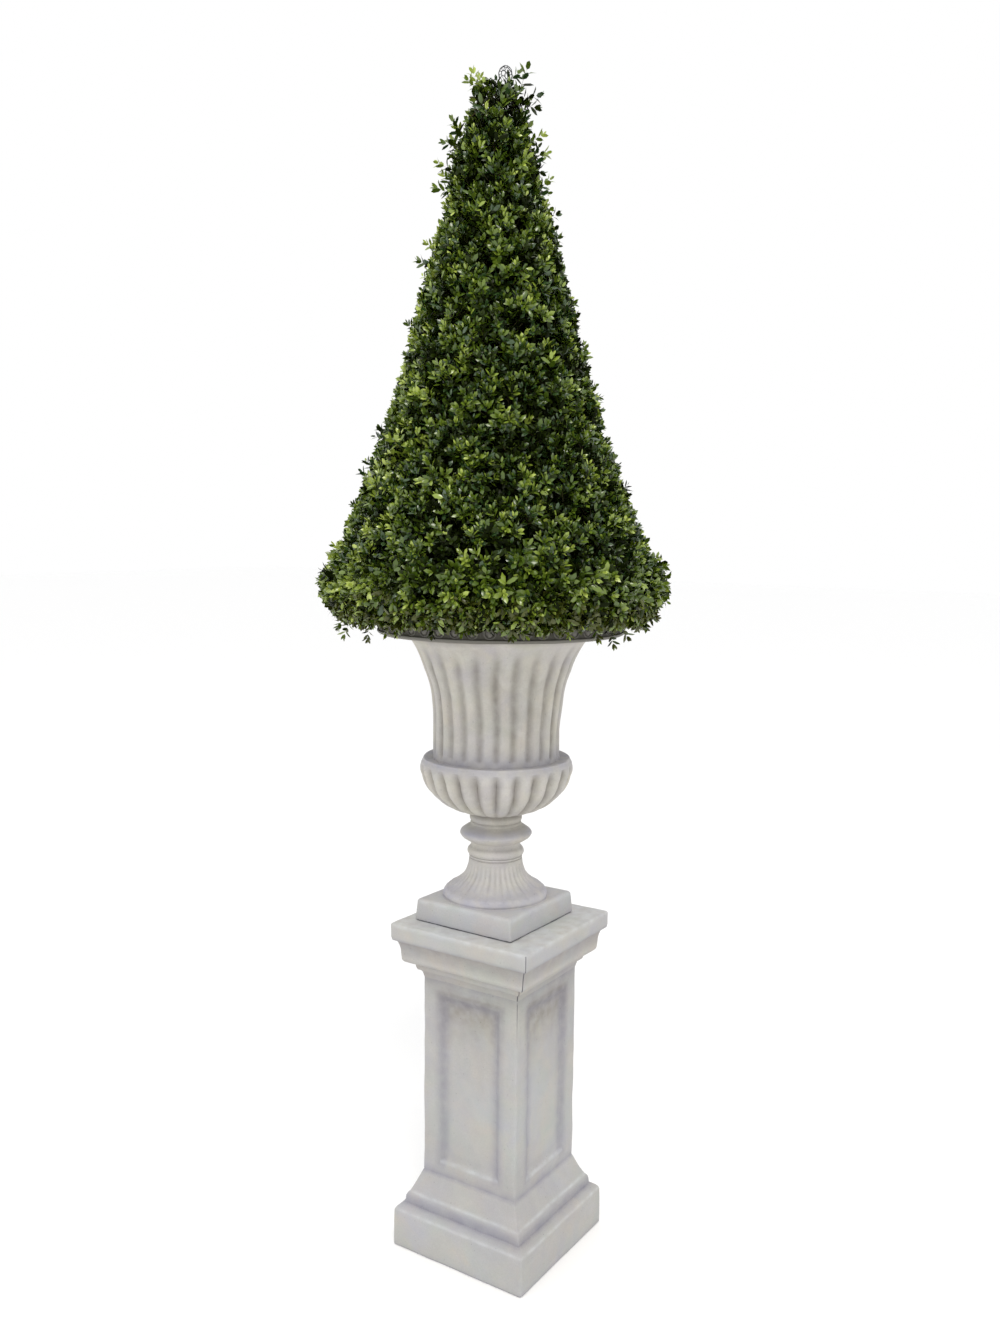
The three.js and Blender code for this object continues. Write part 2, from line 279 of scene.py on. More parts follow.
def makeCamera(settings):
    data = bpy.data.cameras.new("studioCamera")
    camera = bpy.data.objects.new("studioCamera", data)
    scene.collection.objects.link(camera)
    data.lens = settings["lens"]
    data.sensor_width = settings["sensor"]
    place = Matrix.Translation(settings["place"])
    turns = ((settings["heading"], "Z"), (90 - settings["downTilt"], "X"), (settings["roll"], "Z"))
    for angle, axis in turns:
        place = place @ Matrix.Rotation(math.radians(angle), 4, axis)
    camera.matrix_world = place
    scene.camera = camera


def makeSoftLight(name, aim, place, size, power, colour):
    data = bpy.data.lights.new(name, "AREA")
    data.shape = "DISK"
    data.size = size
    data.energy = power
    data.color = hexToLinear(colour)[:3]
    light = bpy.data.objects.new(name, data)
    scene.collection.objects.link(light)
    light.location = place
    light.rotation_euler = (Vector(aim) - Vector(place)).to_track_quat("-Z", "Y").to_euler()


def makeStudio(lights, floor):
    scene.view_settings.view_transform = "Standard"
    world = bpy.data.worlds.new("paleStudio")
    scene.world = world
    world.use_nodes = True
    background = world.node_tree.nodes["Background"]
    background.inputs["Color"].default_value = hexToLinear(lights["worldColour"])
    background.inputs["Strength"].default_value = lights["worldStrength"]
    for name in ("keyLight", "fillLight"):
        makeSoftLight(name, lights["aim"], *lights[name])
    ground = shapeFrom(bpy.ops.mesh.primitive_plane_add, size=floor["size"])
    ground.name = "paleFloor"
    white = plainMaterial("matt white studio floor", floor["colour"], floor["roughness"])
    ground.data.materials.append(white)


makeCamera(cameraSettings)
makeStudio(lightSettings, floorSettings)
print("camera, lights and floor are set")


# Cast stone: cement and fine marble sand pressed into a mould, left unpolished. It gives the
# eye a matt pale surface with cloudy grey, lilac and greenish stains, fine grain and a few
# pinholes. Painted shade darkens it in the hollows, grooves, undercuts and under overhangs,
# with a lilac cast in the urn's creases. Its edges and ledges are paler, partly worn and partly
# painted highlight, and the cap's flat top is painted lighter where the light from above falls.
# A dark mould seam runs down one corner, and a painted shadow line lies under the urn's plate.
# A tint is its colour, the size of its patches in millimetres, and its share; a layer is its
# colour and its share. The edges say between which levels of a noise its patches set in.
pedestalStoneSettings = {
    "body": "#afaeaa",
    "tints": (("#b8b1a6", 95, 0.7), ("#a7afa9", 80, 0.5), ("#a9a8b5", 120, 0.5), ("#a09d9f", 230, 0.45),
              ("#b8b8b4", 45, 0.25)),
    "lilac": ("#a19fae", 0.75),
    "run": ("#88837a", 1.0),
    "wash": ("#7d7c8b", 0.74),
    "worn": ("#ced3d6", 0.42),
    "seam": ("#4c4c52", 0.95),
    "tintEdges": (0.44, 0.66),
    "streakEdges": (0.3, 0.68),
    "streakSize": 24 * mm,
    "grainSize": 2.4 * mm,
    "grainDepth": 0.3 * mm,
    "grainTones": (0.92, 1.06),
    "pinholeSpacing": 17 * mm,
    "pinholeEdges": (0.036, 0.096),
    "pinholeTone": 0.7,
    "roughness": 0.84,
}

# The cornice has kept more of its warm tone.
corniceStoneSettings = {**pedestalStoneSettings, "body": "#b3aea6", "wash": ("#7e797b", 0.74)}

# The urn's upper part is a warmer mix, with a browner painted shade in its hollows.
urnStoneSettings = {
    **pedestalStoneSettings,
    "body": "#bbb7af",
    "tints": (("#c5bdab", 80, 0.6), ("#b0b2a6", 60, 0.5), ("#aeaab3", 90, 0.5), ("#a19d99", 150, 0.45),
              ("#c9c7c0", 40, 0.4)),
    "wash": ("#6e6962", 0.86),
    "lilac": ("#9d9eaf", 0.75),
    "pinholeSpacing": 15 * mm,
    "roughness": 0.8,
}

# The plate that the urn stands on has gone greyer, with a lilac cast.
urnFootStoneSettings = {**pedestalStoneSettings, "body": "#b0b0b1", "worn": ("#ced3d6", 0.3)}

# The layers in the order that they were laid, and the least of each that its streaks leave.
stoneLayers = {"lilac": 0.4, "run": 0.45, "wash": 0.6, "worn": 0.1, "seam": 0.7}


def castStone(name, settings):
    material, tree = newMaterial(name)
    place = addPlace(tree)
    colour = settings["body"]
    for number, (tint, size, share) in enumerate(settings["tints"]):
        apart = (number * 3.1, number * 1.7, number * 2.3)
        shifted = addNode(tree, "Mapping", {"Vector": place, "Location": apart})
        clouds = addNoise(tree, shifted, size * mm, 5, Roughness=0.62, Distortion=0.6)
        colour = addMix(tree, addRange(tree, clouds, *settings["tintEdges"], 0, share), colour, tint)
    grain = addNoise(tree, place, settings["grainSize"], 3, Roughness=0.7)
    grainTone = addRange(tree, grain, 0.3, 0.7, *settings["grainTones"])
    colour = addMix(tree, 1, colour, grainTone, "MULTIPLY")
    streaks = addNoise(tree, place, settings["streakSize"])
    for layer, least in stoneLayers.items():
        tint, share = settings[layer]
        laid = addNode(tree, "Attribute", {"attribute_name": layer}, "Fac")
        patchy = addRange(tree, streaks, *settings["streakEdges"], least * share, share)
        factor = addNode(tree, "Math", {"operation": "MULTIPLY", "use_clamp": True, 0: laid, 1: patchy})
        colour = addMix(tree, factor, colour, tint)
    pinholes = addNode(tree, "TexVoronoi", {"Vector": place, "Scale": 1 / settings["pinholeSpacing"]})
    solid = addRange(tree, pinholes, *settings["pinholeEdges"])
    colour = addMix(tree, 1, colour, addRange(tree, solid, 0, 1, settings["pinholeTone"], 1), "MULTIPLY")
    height = addSum(tree, grain, 0.5, solid)
    bump = addNode(tree, "Bump", {"Strength": 0.5, "Distance": settings["grainDepth"], "Height": height})
    addShader(tree, {"Base Color": colour, "Roughness": settings["roughness"], "Normal": bump})
    return material


pedestalStone = castStone("pedestal cast stone", pedestalStoneSettings)
corniceStone = castStone("warm cast stone", corniceStoneSettings)
urnStone = castStone("urn cast stone", urnStoneSettings)
urnFootStone = castStone("greyed cast stone", urnFootStoneSettings)
print("stone is mixed")


# Everything square or turned is a course that is raised ring by ring along an outline. A row of
# an outline is, in millimetres, a half-width or radius and a height above the foot, then how
# much painted shade lies there, and how far the stretch that leads to it bulges outwards.
def outlineThrough(rows, foot, steps=6):
    rows = [(radius * mm, foot + height * mm, *more) for radius, height, *more in rows]
    outline = [tuple(rows[0][:3])]
    for radius, height, wash, bulge in rows[1:]:
        start, lastShade = np.array(outline[-1][:2]), outline[-1][2]
        end = np.array([radius, height])
        along = end - start
        sideways = np.array([along[1], -along[0]]) / np.hypot(*along) * 2 * bulge * mm
        for t in np.linspace(0, 1, (steps if bulge else 1) + 1)[1:]:
            x, z = (1 - t) ** 2 * start + 2 * t * (1 - t) * (start + along / 2 + sideways) + t ** 2 * end
            outline.append((x, z, lastShade + (wash - lastShade) * t))
    return outline


# A filled circle or square, extruded upwards and resized from ring to ring.
def raiseCourse(outline, sides, centre, turn=0):
    radius, height = outline[0][:2]
    piece = shapeFrom(
        bpy.ops.mesh.primitive_circle_add, vertices=sides, radius=radius, fill_type="NGON",
        location=(*centre, height), rotation=(0, 0, turn),
    )
    editMode(piece)
    extrudeThrough(outline, centre)
    objectMode()
    return piece


# Extrudes what is selected from one ring of an outline to the next.
def extrudeThrough(outline, centre):
    for last, here in zip(outline, outline[1:]):
        bpy.ops.mesh.extrude_region_move(TRANSFORM_OT_translate={"value": (0, 0, here[1] - last[1])})
        share = here[0] / last[0]
        bpy.ops.transform.resize(value=(share, share, 1), center_override=(*centre, here[1]))


# A square course: the outline gives half its width, so its corners stand further out.
def raiseSquare(outline, centre=(0, 0), turn=0):
    corners = [(half * math.sqrt(2), height) for half, height, *_ in outline]
    return raiseCourse(corners, 4, centre, math.pi / 4 + turn)


# Rounds the edges sharper than a limit, except those that lie in a joint between courses.
def softenEdges(piece, width, jointHeights=(), sharperThan=18):
    def isEdge(edge):
        if len(edge.link_faces) != 2 or edge.calc_face_angle() < math.radians(sharperThan):
            return False
        heights = [vertex.co.z for vertex in edge.verts]
        return not any(max(abs(h - joint) for h in heights) < 0.1 * mm for joint in jointHeights)
    editMode(piece)
    selectWhere(piece, "EDGE", isEdge)
    bpy.ops.mesh.bevel(offset=width, segments=3, affect="EDGES", clamp_overlap=True)
    objectMode()


# Cuts the piece in edit mode straight through, across X, Y or Z.
def cutAcross(axis, place):
    normal = [float(axis == i) for i in range(3)]
    selectAll()
    bpy.ops.mesh.bisect(plane_co=[place * share for share in normal], plane_no=normal)


# Cuts a piece into even strips along X, Y and Z, so that it can be made uneven.
def cutEvenly(piece, spacing):
    editMode(piece)
    points = np.array([vertex.co for vertex in piece.data.vertices])
    for axis, (low, high) in enumerate(zip(points.min(axis=0), points.max(axis=0))):
        for place in np.linspace(low, high, max(1, round((high - low) / spacing)) + 1)[1:-1]:
            cutAcross(axis, place)
    objectMode()


def splitFaces(piece):
    applyModifier(piece, "SUBSURF", {"subdivision_type": "SIMPLE", "levels": 1, "render_levels": 1})


# From one swell of the stone to the next, and how deep it is.
unevenness = {"size": 75 * mm, "depth": 2.2 * mm}


# Castings are never quite true: the same slow swell runs through all the stone.
def makeUneven(piece, settings, depthShare=1):
    name = "swells of {:.0f} mm".format(settings["size"] / mm)
    texture = bpy.data.textures.get(name)
    if texture is None:
        texture = bpy.data.textures.new(name, "CLOUDS")
        texture.cloud_type = "COLOR"
        texture.noise_scale = settings["size"]
        texture.noise_depth = 1
    applyModifier(piece, "DISPLACE", {
        "texture": texture,
        "texture_coords": "LOCAL",
        "direction": "RGB_TO_XYZ",
        "mid_level": 0.5,
        "strength": settings["depth"] * depthShare,
    })


def writeAttribute(piece, name, values):
    attribute = piece.data.attributes.get(name) or piece.data.attributes.new(name, "FLOAT", "POINT")
    attribute.data.foreach_set("value", np.asarray(values, dtype=np.float32))


def readPoints(piece):
    points = np.empty(len(piece.data.vertices) * 3, dtype=np.float32)
    piece.data.vertices.foreach_get("co", points)
    return points.reshape(-1, 3).astype(float)


# The painted shade at each point is that of the nearest place on the outline.
def hollowShadeAlong(outline, radii, heights):
    best = np.full(len(radii), 1e9)
    wash = np.zeros(len(radii))
    for (r0, z0, w0), (r1, z1, w1) in zip(outline, outline[1:]):
        run = np.array([r1 - r0, z1 - z0])
        t = np.clip(((radii - r0) * run[0] + (heights - z0) * run[1]) / max(run @ run, 1e-12), 0, 1)
        distance = np.hypot(r0 + t * run[0] - radii, z0 + t * run[1] - heights)
        nearer = distance < best
        best[nearer] = distance[nearer]
        wash[nearer] = (w0 + t * (w1 - w0))[nearer]
    return wash


# Points of a square course, from its centre and along its own sides.
def squarePoints(piece, centre, turn):
    x, y, z = readPoints(piece).T
    return (*turnedPair(x - centre[0], y - centre[1], turn), z)


# Each panel is sunk into the shaft, with painted shade along its sunk edges. A stain has run down
# from its top edge, and the shaft is also darker and warmer towards its top, under the cornice:
# each is its share and its length. Up to a height, the panel's foot keeps only a share of its
# painted shade, and a painted highlight runs along its lower edge, where the slope faces up. The
# plinth's face is its upright sides' height, in millimetres.
pedestalSettings = {
    "wearAndHighlightReach": 4 * mm,
    "cornerWearAndHighlight": 0.3,
    "cornerReach": 12 * mm,
    "seamWidth": 1.6 * mm,
    "seamReach": 60 * mm,
    "seamLowest": 530 * mm,
    "seamFade": 100 * mm,
    "paintedTopLight": 0.95,
    "plinthFace": 89.5,
    "plinthEdge": 5 * mm,
    "edge": 2.5 * mm,
    "panelHalfWidth": 80 * mm,
    "panelBottom": 207 * mm,
    "panelHeight": 400 * mm,
    "panelSlope": 11 * mm,
    "panelDepth": 7.5 * mm,
    "panelRounding": 3 * mm,
    "panelShade": 0.78,
    "panelShadeReach": 16 * mm,
    "panelRun": (1.0, 85 * mm),
    "runStart": 6 * mm,
    "runMargin": 8 * mm,
    "runFade": 20 * mm,
    "topRun": (0.4, 40 * mm),
    "shadeLeftAtFoot": (0.3, 18 * mm),
    "footLightReach": 4 * mm,
    "cutSpacing": 20 * mm,
}


# Square stone is paler along its upright corners and along the ledges listed as half-width and
# height, partly worn and partly painted highlight where the edges catch the light. A fine mould
# seam runs down the corner that stands to +X and -Y, and fades out at a lowest height.
def layWear(piece, half, ledges, centre=(0, 0), turn=0, more=0):
    rule = pedestalSettings
    x, y, height = squarePoints(piece, centre, turn)
    wide, narrow = np.maximum(abs(x), abs(y)), np.minimum(abs(x), abs(y))
    fromCorner = wide - narrow + np.maximum(0, half - rule["cornerReach"] - wide) * 4
    worn = rule["cornerWearAndHighlight"] * humpAt(fromCorner, 0, rule["wearAndHighlightReach"])
    for ledgeHalf, ledge in ledges:
        worn = np.maximum(worn, humpAt(np.hypot(wide - ledgeHalf, height - ledge), 0, rule["wearAndHighlightReach"]))
    writeAttribute(piece, "worn", np.maximum(worn, more))
    onCorner = (abs(x + y) < rule["seamWidth"]) & (x > 0) & (wide > half - rule["seamReach"])
    onCorner &= height < height.max() - 2 * mm
    seamFrom = rule["seamLowest"] if centre == (0, 0) else 1
    writeAttribute(piece, "seam", onCorner * rampBetween(height, seamFrom, seamFrom + rule["seamFade"]))


# A course's half-width and height in millimetres.
def sizeOf(node):
    low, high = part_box(node)
    return high.x / mm, (high.z - low.z) / mm


# Heights of joints and ledges are in millimetres above the foot, like the outline's.
def squareStone(name, node, rows, joints=(), ledges=(), edge=pedestalSettings["edge"],
                cuts=pedestalSettings["cutSpacing"], centre=(0, 0), turn=0, material=pedestalStone):
    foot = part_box(node)[0].z
    outline = outlineThrough(rows, foot)
    piece = raiseSquare(outline, centre, turn)
    closeNormals(piece)
    softenEdges(piece, edge, [foot + joint * mm for joint in joints])
    cutEvenly(piece, cuts)
    splitFaces(piece)
    x, y, height = squarePoints(piece, centre, turn)
    writeAttribute(piece, "wash", hollowShadeAlong(outline, np.maximum(abs(x), abs(y)), height))
    half = max(point[0] for point in outline)
    layWear(piece, half, [(out * mm, foot + up * mm) for out, up in ledges], centre, turn)
    makeUneven(piece, unevenness)
    return finishPiece(piece, name, material, [node])


def makePlinth(settings):
    half, height = sizeOf("plinth_block")
    ledge = sizeOf("base_moulding")[0]
    upright = settings["plinthFace"]
    # The plinth's foot is undercut, and its outline lays full painted shade there as a contact shadow.
    piece = squareStone("plinth_cast", "plinth_block", [
        (half - 2.5, 0, 1, 0), (half - 2.5, 1.5, 1, 0), (half, 3, 0.4, 0), (half, 14, 0.05, 0),
        (half, upright, 0, 0), (ledge + 8, height - 5, 0.3, 0), (ledge, height, 1, 0),
    ], [0, 1.5, 3, height], [(half, upright)], settings["plinthEdge"])
    # the underside stands flat on the ground
    editMode(piece)
    selectWhere(piece, "FACE", lambda face: face.normal.z < -0.95 and face.calc_center_median().z < 1.4 * mm)
    bpy.ops.transform.resize(value=(1, 1, 0), center_override=(0, 0, 0))
    objectMode()


def makeBaseMoulding():
    half, height = sizeOf("base_moulding")
    shaft = sizeOf("pedestal_shaft")[0]
    squareStone("base_moulding_cast", "base_moulding", [
        (half, 0, 1, 0), (half - 1.5, 14, 0.65, 0), (half - 8, 24, 0.1, 1), (shaft + 4, height - 9, 0.1, -1),
        (shaft, height, 0.85, 0),
    ], [0, height], [(half - 8, 24)])


def makeCornice():
    half, height = sizeOf("cornice")
    shaft = sizeOf("pedestal_shaft")[0]
    squareStone("cornice_cast", "cornice", [
        (shaft, 0, 0.45, 0), (shaft + 3, 12, 0.6, 0), (shaft + 10.5, 18, 0.3, -1.5),
        (shaft + 14, 31, 0.2, 1), (shaft + 15, 34, 0.7, 0), (half - 17, 37, 0.4, 0),
        (half - 9, 49, 0, 2.5), (half - 8, 60, 0.35, 0), (half, height, 0.9, -2),
    ], [0, height], material=corniceStone)


# The flat top is painted paler than the sides, as the light from above falls on it.
def makeCapSlab(settings):
    half, height = sizeOf("cap_slab")
    piece = squareStone("cap_slab_cast", "cap_slab", [
        (half - 2, 0, 0.6, 0), (half, 9, 0.1, 0), (half, height - 4, 0, 0), (half - 4, height, 0, 1),
    ], [], [(half - 1, height - 2)])
    worn = np.empty(len(piece.data.vertices), dtype=np.float32)
    piece.data.attributes["worn"].data.foreach_get("value", worn)
    worn[readPoints(piece)[:, 2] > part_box("cap_slab")[1].z - 3 * mm] = settings["paintedTopLight"]
    writeAttribute(piece, "worn", worn)


# The shaft's sides are cut where the panels' edges run, then the panels are sunk.
def makeShaft(settings):
    low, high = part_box("pedestal_shaft")
    half, tall = sizeOf("pedestal_shaft")
    outline = outlineThrough([
        (half, 0, 0.8, 0), (half, 16, 0.1, 0), (half, tall - 20, 0, 0), (half, tall, 0.45, 0),
    ], low.z)
    piece = raiseSquare([outline[0], outline[-1]])
    closeNormals(piece)
    width = settings["panelHalfWidth"]
    bottom = settings["panelBottom"]
    top = bottom + settings["panelHeight"]
    editMode(piece)
    for axis, places in enumerate(((-width, width), (-width, width), (bottom, top))):
        for place in places:
            cutAcross(axis, place)

    def isPanel(face):
        middle = face.calc_center_median()
        across = min(abs(middle.x), abs(middle.y))
        return abs(face.normal.z) < 0.5 and across < width and bottom < middle.z < top

    selectWhere(piece, "FACE", isPanel)
    bpy.ops.mesh.inset(thickness=settings["panelSlope"], depth=-settings["panelDepth"])

    def isPanelEdge(edge):
        if len(edge.link_faces) != 2 or edge.calc_face_angle() < math.radians(8):
            return False
        places = [vertex.co for vertex in edge.verts]
        inside = [low.z + 1 * mm < place.z < high.z - 1 * mm for place in places]
        return all(inside) and all(min(abs(place.x), abs(place.y)) < width + 1 * mm for place in places)

    selectWhere(piece, "EDGE", isPanelEdge)
    bpy.ops.mesh.bevel(offset=settings["panelRounding"], segments=4, affect="EDGES")
    objectMode()
    softenEdges(piece, settings["edge"], [low.z, high.z], 60)
    cutEvenly(piece, settings["cutSpacing"])
    splitFaces(piece)
    x, y, height = readPoints(piece).T
    across = np.minimum(abs(x), abs(y))
    middle = (bottom + top) / 2
    outside = np.maximum(across - width, abs(height - middle) - (top - middle))
    # Painted shade along the panels' sunk edges, with less of it on each panel's foot.
    wash = settings["panelShade"] * humpAt(outside, -0.6 * settings["panelSlope"], settings["panelShadeReach"])
    share, reach = settings["shadeLeftAtFoot"]
    wash[(height < bottom + reach) & (across < width - reach)] *= share
    # Painted highlight along each panel's lower edge, where the slope faces up.
    reach = settings["footLightReach"]
    footLight = humpAt(height, bottom + reach, reach) * (across < width)
    writeAttribute(piece, "wash", np.maximum(wash, hollowShadeAlong(outline, np.maximum(abs(x), abs(y)), height)))
    share, length = settings["panelRun"]
    start = top + settings["runStart"]
    run = share * humpAt(height, start, np.where(height > start, length / 8, length))
    run *= humpAt(np.maximum(0, across - width + settings["runMargin"]), 0, settings["runFade"])
    share, length = settings["topRun"]
    writeAttribute(piece, "run", np.maximum(run, share * np.exp((height - high.z) / length)))
    layWear(piece, half * mm, [], more=footLight)
    makeUneven(piece, unevenness)
    finishPiece(piece, "panelled_shaft", pedestalStone, ["pedestal_shaft"])


makePlinth(pedestalSettings)
makeBaseMoulding()
makeShaft(pedestalSettings)
makeCornice()
makeCapSlab(pedestalSettings)
print("pedestal is built")


# The urn stands turned by less than a degree. Its sizes are in millimetres. No two grooves are
# painted as dark. The gadroons run up the collar, and the flutes rise from its ledge and fade
# out under the bell's lip. A band of painted lilac shade, in the urn's creases, is its height,
# its reach and its share.
urnSettings = {
    "turn": math.radians(-0.8) + math.radians(4.2 - 90),
    "footTurn": math.radians(-0.8),
    "smoothSides": 160,
    "grooveVariety": (0.6, 1.25),
    "footHalf": 129.2,
    "neck": 60,
    "bowlRadius": 168,
    "gadroonRise": 27,
    "ledgeHeight": 38,
    "bellRadius": 142.5,
    "fluteRise": (3, 15),
    "fluteFade": (250, 190),
    "lilacShadeBands": ((836, 32, 0.95), (885, 30, 0.4), (976, 8, 0.8), (1150, 24, 0.9)),
}

# Grooves by how many there are and how many columns of points each has, its depth across its
# pitch, and how its painted shade fades. A flute is narrow and soft, with a broad flat ridge
# beside it; gadroons are round lobes that meet in a sharp crease.
fluteGrooves = {
    "count": 24,
    "columns": 10,
    "depth": 6.5 * mm,
    "shape": lambda distance: math.cos(math.pi * distance) ** 3,
    "wash": 0.8,
    "shadeNarrowness": 4,
    "shadePower": 1,
}
gadroonGrooves = {
    **fluteGrooves,
    "depth": 14 * mm,
    "shape": lambda distance: 1 - math.sin(math.pi * distance) ** 0.9,
    "wash": 0.78,
    "shadeNarrowness": 3,
    "shadePower": 0.5,
}
ribGrooves = {**fluteGrooves, "count": 36, "columns": 6, "depth": 3 * mm, "wash": 0.34, "shadePower": 0.5}

# The flutes swing a little to and fro on their way up.
fluteSwing = {"size": 170 * mm, "depth": 9 * mm}

urnCentre = middleOf("urn_foot_plate")
ringCentre = middleOf("urn_rim")
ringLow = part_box("urn_rim")[0]


def fromAxis(points, centre):
    return np.hypot(points[:, 0] - centre[0], points[:, 1] - centre[1])


# Which place between two grooves each point has, from -0.5 to 0.5, and its nearest groove.
def groovePhase(points, count):
    angle = np.arctan2(points[:, 1] - urnCentre[1], points[:, 0] - urnCentre[0])
    phase = (angle - urnSettings["turn"]) * count / (2 * math.pi)
    nearest = np.round(phase)
    return phase - nearest, nearest.astype(int) % count


# Pushes evenly spaced grooves into a turned piece: each ring's points at the same distance
# from a groove are drawn in towards the axis together.
def pushGrooves(piece, depths, grooves):
    points = readPoints(piece)
    column = np.round(abs(groovePhase(points, grooves["count"])[0]) * grooves["columns"]).astype(int)
    out = fromAxis(points, urnCentre)
    away = [np.hypot(out - radius, points[:, 2] - height) for radius, height, _ in depths]
    ring = np.argmin(away, axis=0)
    editMode(piece)
    mesh = bmesh.from_edit_mesh(piece.data)
    bpy.ops.mesh.select_mode(type="VERT")
    for number, (radius, height, depth) in enumerate(depths):
        for place in range(grooves["columns"] // 2 + 1):
            push = depth * grooves["shape"](place / grooves["columns"])
            if push < 0.02 * mm:
                continue
            bpy.ops.mesh.select_all(action="DESELECT")
            mesh.verts.ensure_lookup_table()
            for index in np.nonzero((ring == number) & (column == place))[0]:
                mesh.verts[index].select_set(True)
            bmesh.update_edit_mesh(piece.data)
            scale = 1 - push / radius
            bpy.ops.transform.resize(value=(scale, scale, 1), center_override=(*urnCentre, height))
    objectMode()


# Painted shade down each groove, darker where the groove is deeper, and different for each groove.
def grooveShade(points, depths, grooves):
    count = grooves["count"]
    away, nearest = groovePhase(points, count)
    variety = within(urnSettings["grooveVariety"], np.random.default_rng(count).random(count))
    share = grooves["wash"] * variety[nearest] * np.cos(math.pi * away) ** grooves["shadeNarrowness"]
    deepest = max(depth for _, _, depth in depths)
    fading = sorted((height, (depth / deepest) ** grooves["shadePower"]) for _, height, depth in depths)
    return share * np.interp(points[:, 2], *zip(*fading))


# Grooves run as deep along the outline as their share at each radius and height says. The inside
# is an outline too, by which the mouth is turned inwards and down.
def turnedStone(name, node, rows, steps, grooves=None, shareAt=None, swells=(unevenness,), inside=()):
    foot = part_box(node)[0].z
    outline = outlineThrough(rows, foot, steps)
    sides = grooves["count"] * grooves["columns"] if grooves else urnSettings["smoothSides"]
    piece = raiseCourse(outline, sides, urnCentre, urnSettings["turn"])
    if grooves:
        depths = [(r, z, grooves["depth"] * shareAt(r / mm, (z - foot) / mm)) for r, z, _ in outline]
        pushGrooves(piece, depths, grooves)
    if inside:
        top = outline[-1][1] - 0.5 * mm
        editMode(piece)
        selectWhere(piece, "FACE", lambda face: len(face.verts) > 8 and face.calc_center_median().z > top)
        extrudeThrough([(radius * mm, foot + height * mm) for radius, height in inside], urnCentre)
        objectMode()
    closeNormals(piece)
    points = readPoints(piece)
    wash = hollowShadeAlong(outline, fromAxis(points, urnCentre), points[:, 2])
    if grooves:
        wash = np.maximum(wash, grooveShade(points, depths, grooves))
    writeAttribute(piece, "wash", wash)
    # Painted lilac shade in bands round the urn's creases and necks.
    bands = [share * humpAt(points[:, 2] / mm, *band) for *band, share in urnSettings["lilacShadeBands"]]
    writeAttribute(piece, "lilac", np.max(bands, axis=0))
    for swell in swells:
        makeUneven(piece, swell)
    finishPiece(piece, name, urnStone, [node], 50)


# The plate's foot is undercut, and the undercut band is painted dark as a shadow line where it stands on the
# cap.
def makeFootPlate(settings):
    half = settings["footHalf"]
    height = sizeOf("urn_foot_plate")[1]
    piece = squareStone("urn_foot_plate_cast", "urn_foot_plate", [
        (half - 3, 0, 1, 0), (half - 3, 2.4, 1, 0), (half - 0.3, 2.8, 0.4, 0), (half, 6, 0.1, 0),
        (half - 3, height - 9, 0, 0), (half - 9, height, 0.15, 2),
    ], [0, 2.4, 2.8], [(half - 4, height - 7)], 2 * mm, 16 * mm, urnCentre, settings["footTurn"],
        urnFootStone)
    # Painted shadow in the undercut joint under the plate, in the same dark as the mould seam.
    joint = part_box("urn_foot_plate")[0].z + 2.6 * mm
    writeAttribute(piece, "seam", readPoints(piece)[:, 2] < joint)


def makeSocle(settings):
    height = sizeOf("urn_socle")[1]
    turnedStone("ribbed_socle", "urn_socle", [
        (119.5, 0, 0.3, 0), (118, 3, 0.2, -0.6), (118, 10, 0.05, 1), (114.5, 17, 0.1, 0.8),
        (110, 21, 0.35, -0.5), (98, 28, 0.2, 0.5), (84, 39, 0.1, -0.5), (73.5, 49, 0, -0.8),
        (65.5, 64, 0, -1), (61.5, 78, 0.05, -0.4), (settings["neck"], height, 0.2, 0.2),
    ], 7, ribGrooves, lambda r, z: math.sin(math.pi * rampBetween(z, 12, height - 6) ** 0.8) ** 0.6)


def makeKnop(settings):
    rows = [
        (0, 0, 0.3, 0), (-1.7, 2, 0.6, 0), (0, 4, 0.1, 0), (0.3, 6.5, 0, 0.4), (-1.2, 8, 0.5, 0),
        (2, 11, 0, 0.3), (4.4, 17, 0, 0.5), (2.5, 23, 0, 0.4), (-1.5, 27, 0.25, 0), (-4.2, 33.5, 0.1, -0.6),
        (-3, 39, 0, -0.4), (6, 43.5, 0, -0.6), (16, 50, 0, 0), (21.3, 56.5, 0, 0.4), (21.6, 59.5, 0, 0.4),
        (18, 65, 0, 0.4), (7, 73, 0.1, 0), (0, 77.5, 0.2, -0.4), (-2.6, 80, 0.1, 0), (-1.6, 83, 0.35, 0),
        (-3.4, 86, 0.6, 0), (-1.2, 89, 0.2, 0), (-0.2, 94, 0.2, 0.6), (-0.8, 99, 0.35, 0.4),
        (-3.5, 103.5, 0.8, 0), (-3.5, 109, 1, 0),
    ]
    turnedStone("ringed_knop", "urn_knop", [(settings["neck"] + out, *more) for out, *more in rows], 5)


# The bowl's gadroons swell upwards and end in round tops under the collar's edge.
def makeBowl(settings):
    radius = settings["bowlRadius"]
    turnedStone("gadrooned_bowl", "urn_bowl", [
        (56, 6, 0.9, 0), (84, 13.5, 0.3, 1), (138, 44, 0.1, 4.5), (radius, sizeOf("urn_bowl")[1], 0, 5.5),
    ], 14, gadroonGrooves, lambda r, z: rampBetween(z, 5, 10) * r / radius)


# The collar's rim stands up a little round a sunk ledge, from which the bell rises.
def makeCollar(settings):
    radius, ledge, rise = settings["bowlRadius"], settings["ledgeHeight"], settings["gadroonRise"]
    turnedStone("collar_ledge", "urn_collar", [
        (radius, 0, 0, 0), (radius + 4, 15, 0, 0.8), (radius + 3, 24, 0, 0.5),
        (radius - 3, ledge - 3, 0.05, 0.3), (radius - 6, ledge + 1, 0.1, 1), (radius - 12, ledge, 0.1, 0),
        (radius - 30, ledge, 0.25, 0),
    ], 7, gadroonGrooves,
        lambda r, z: 0 if r < radius - 8 else math.sin(math.pi / 2 * rampBetween(z, rise, 0)) ** 0.7)


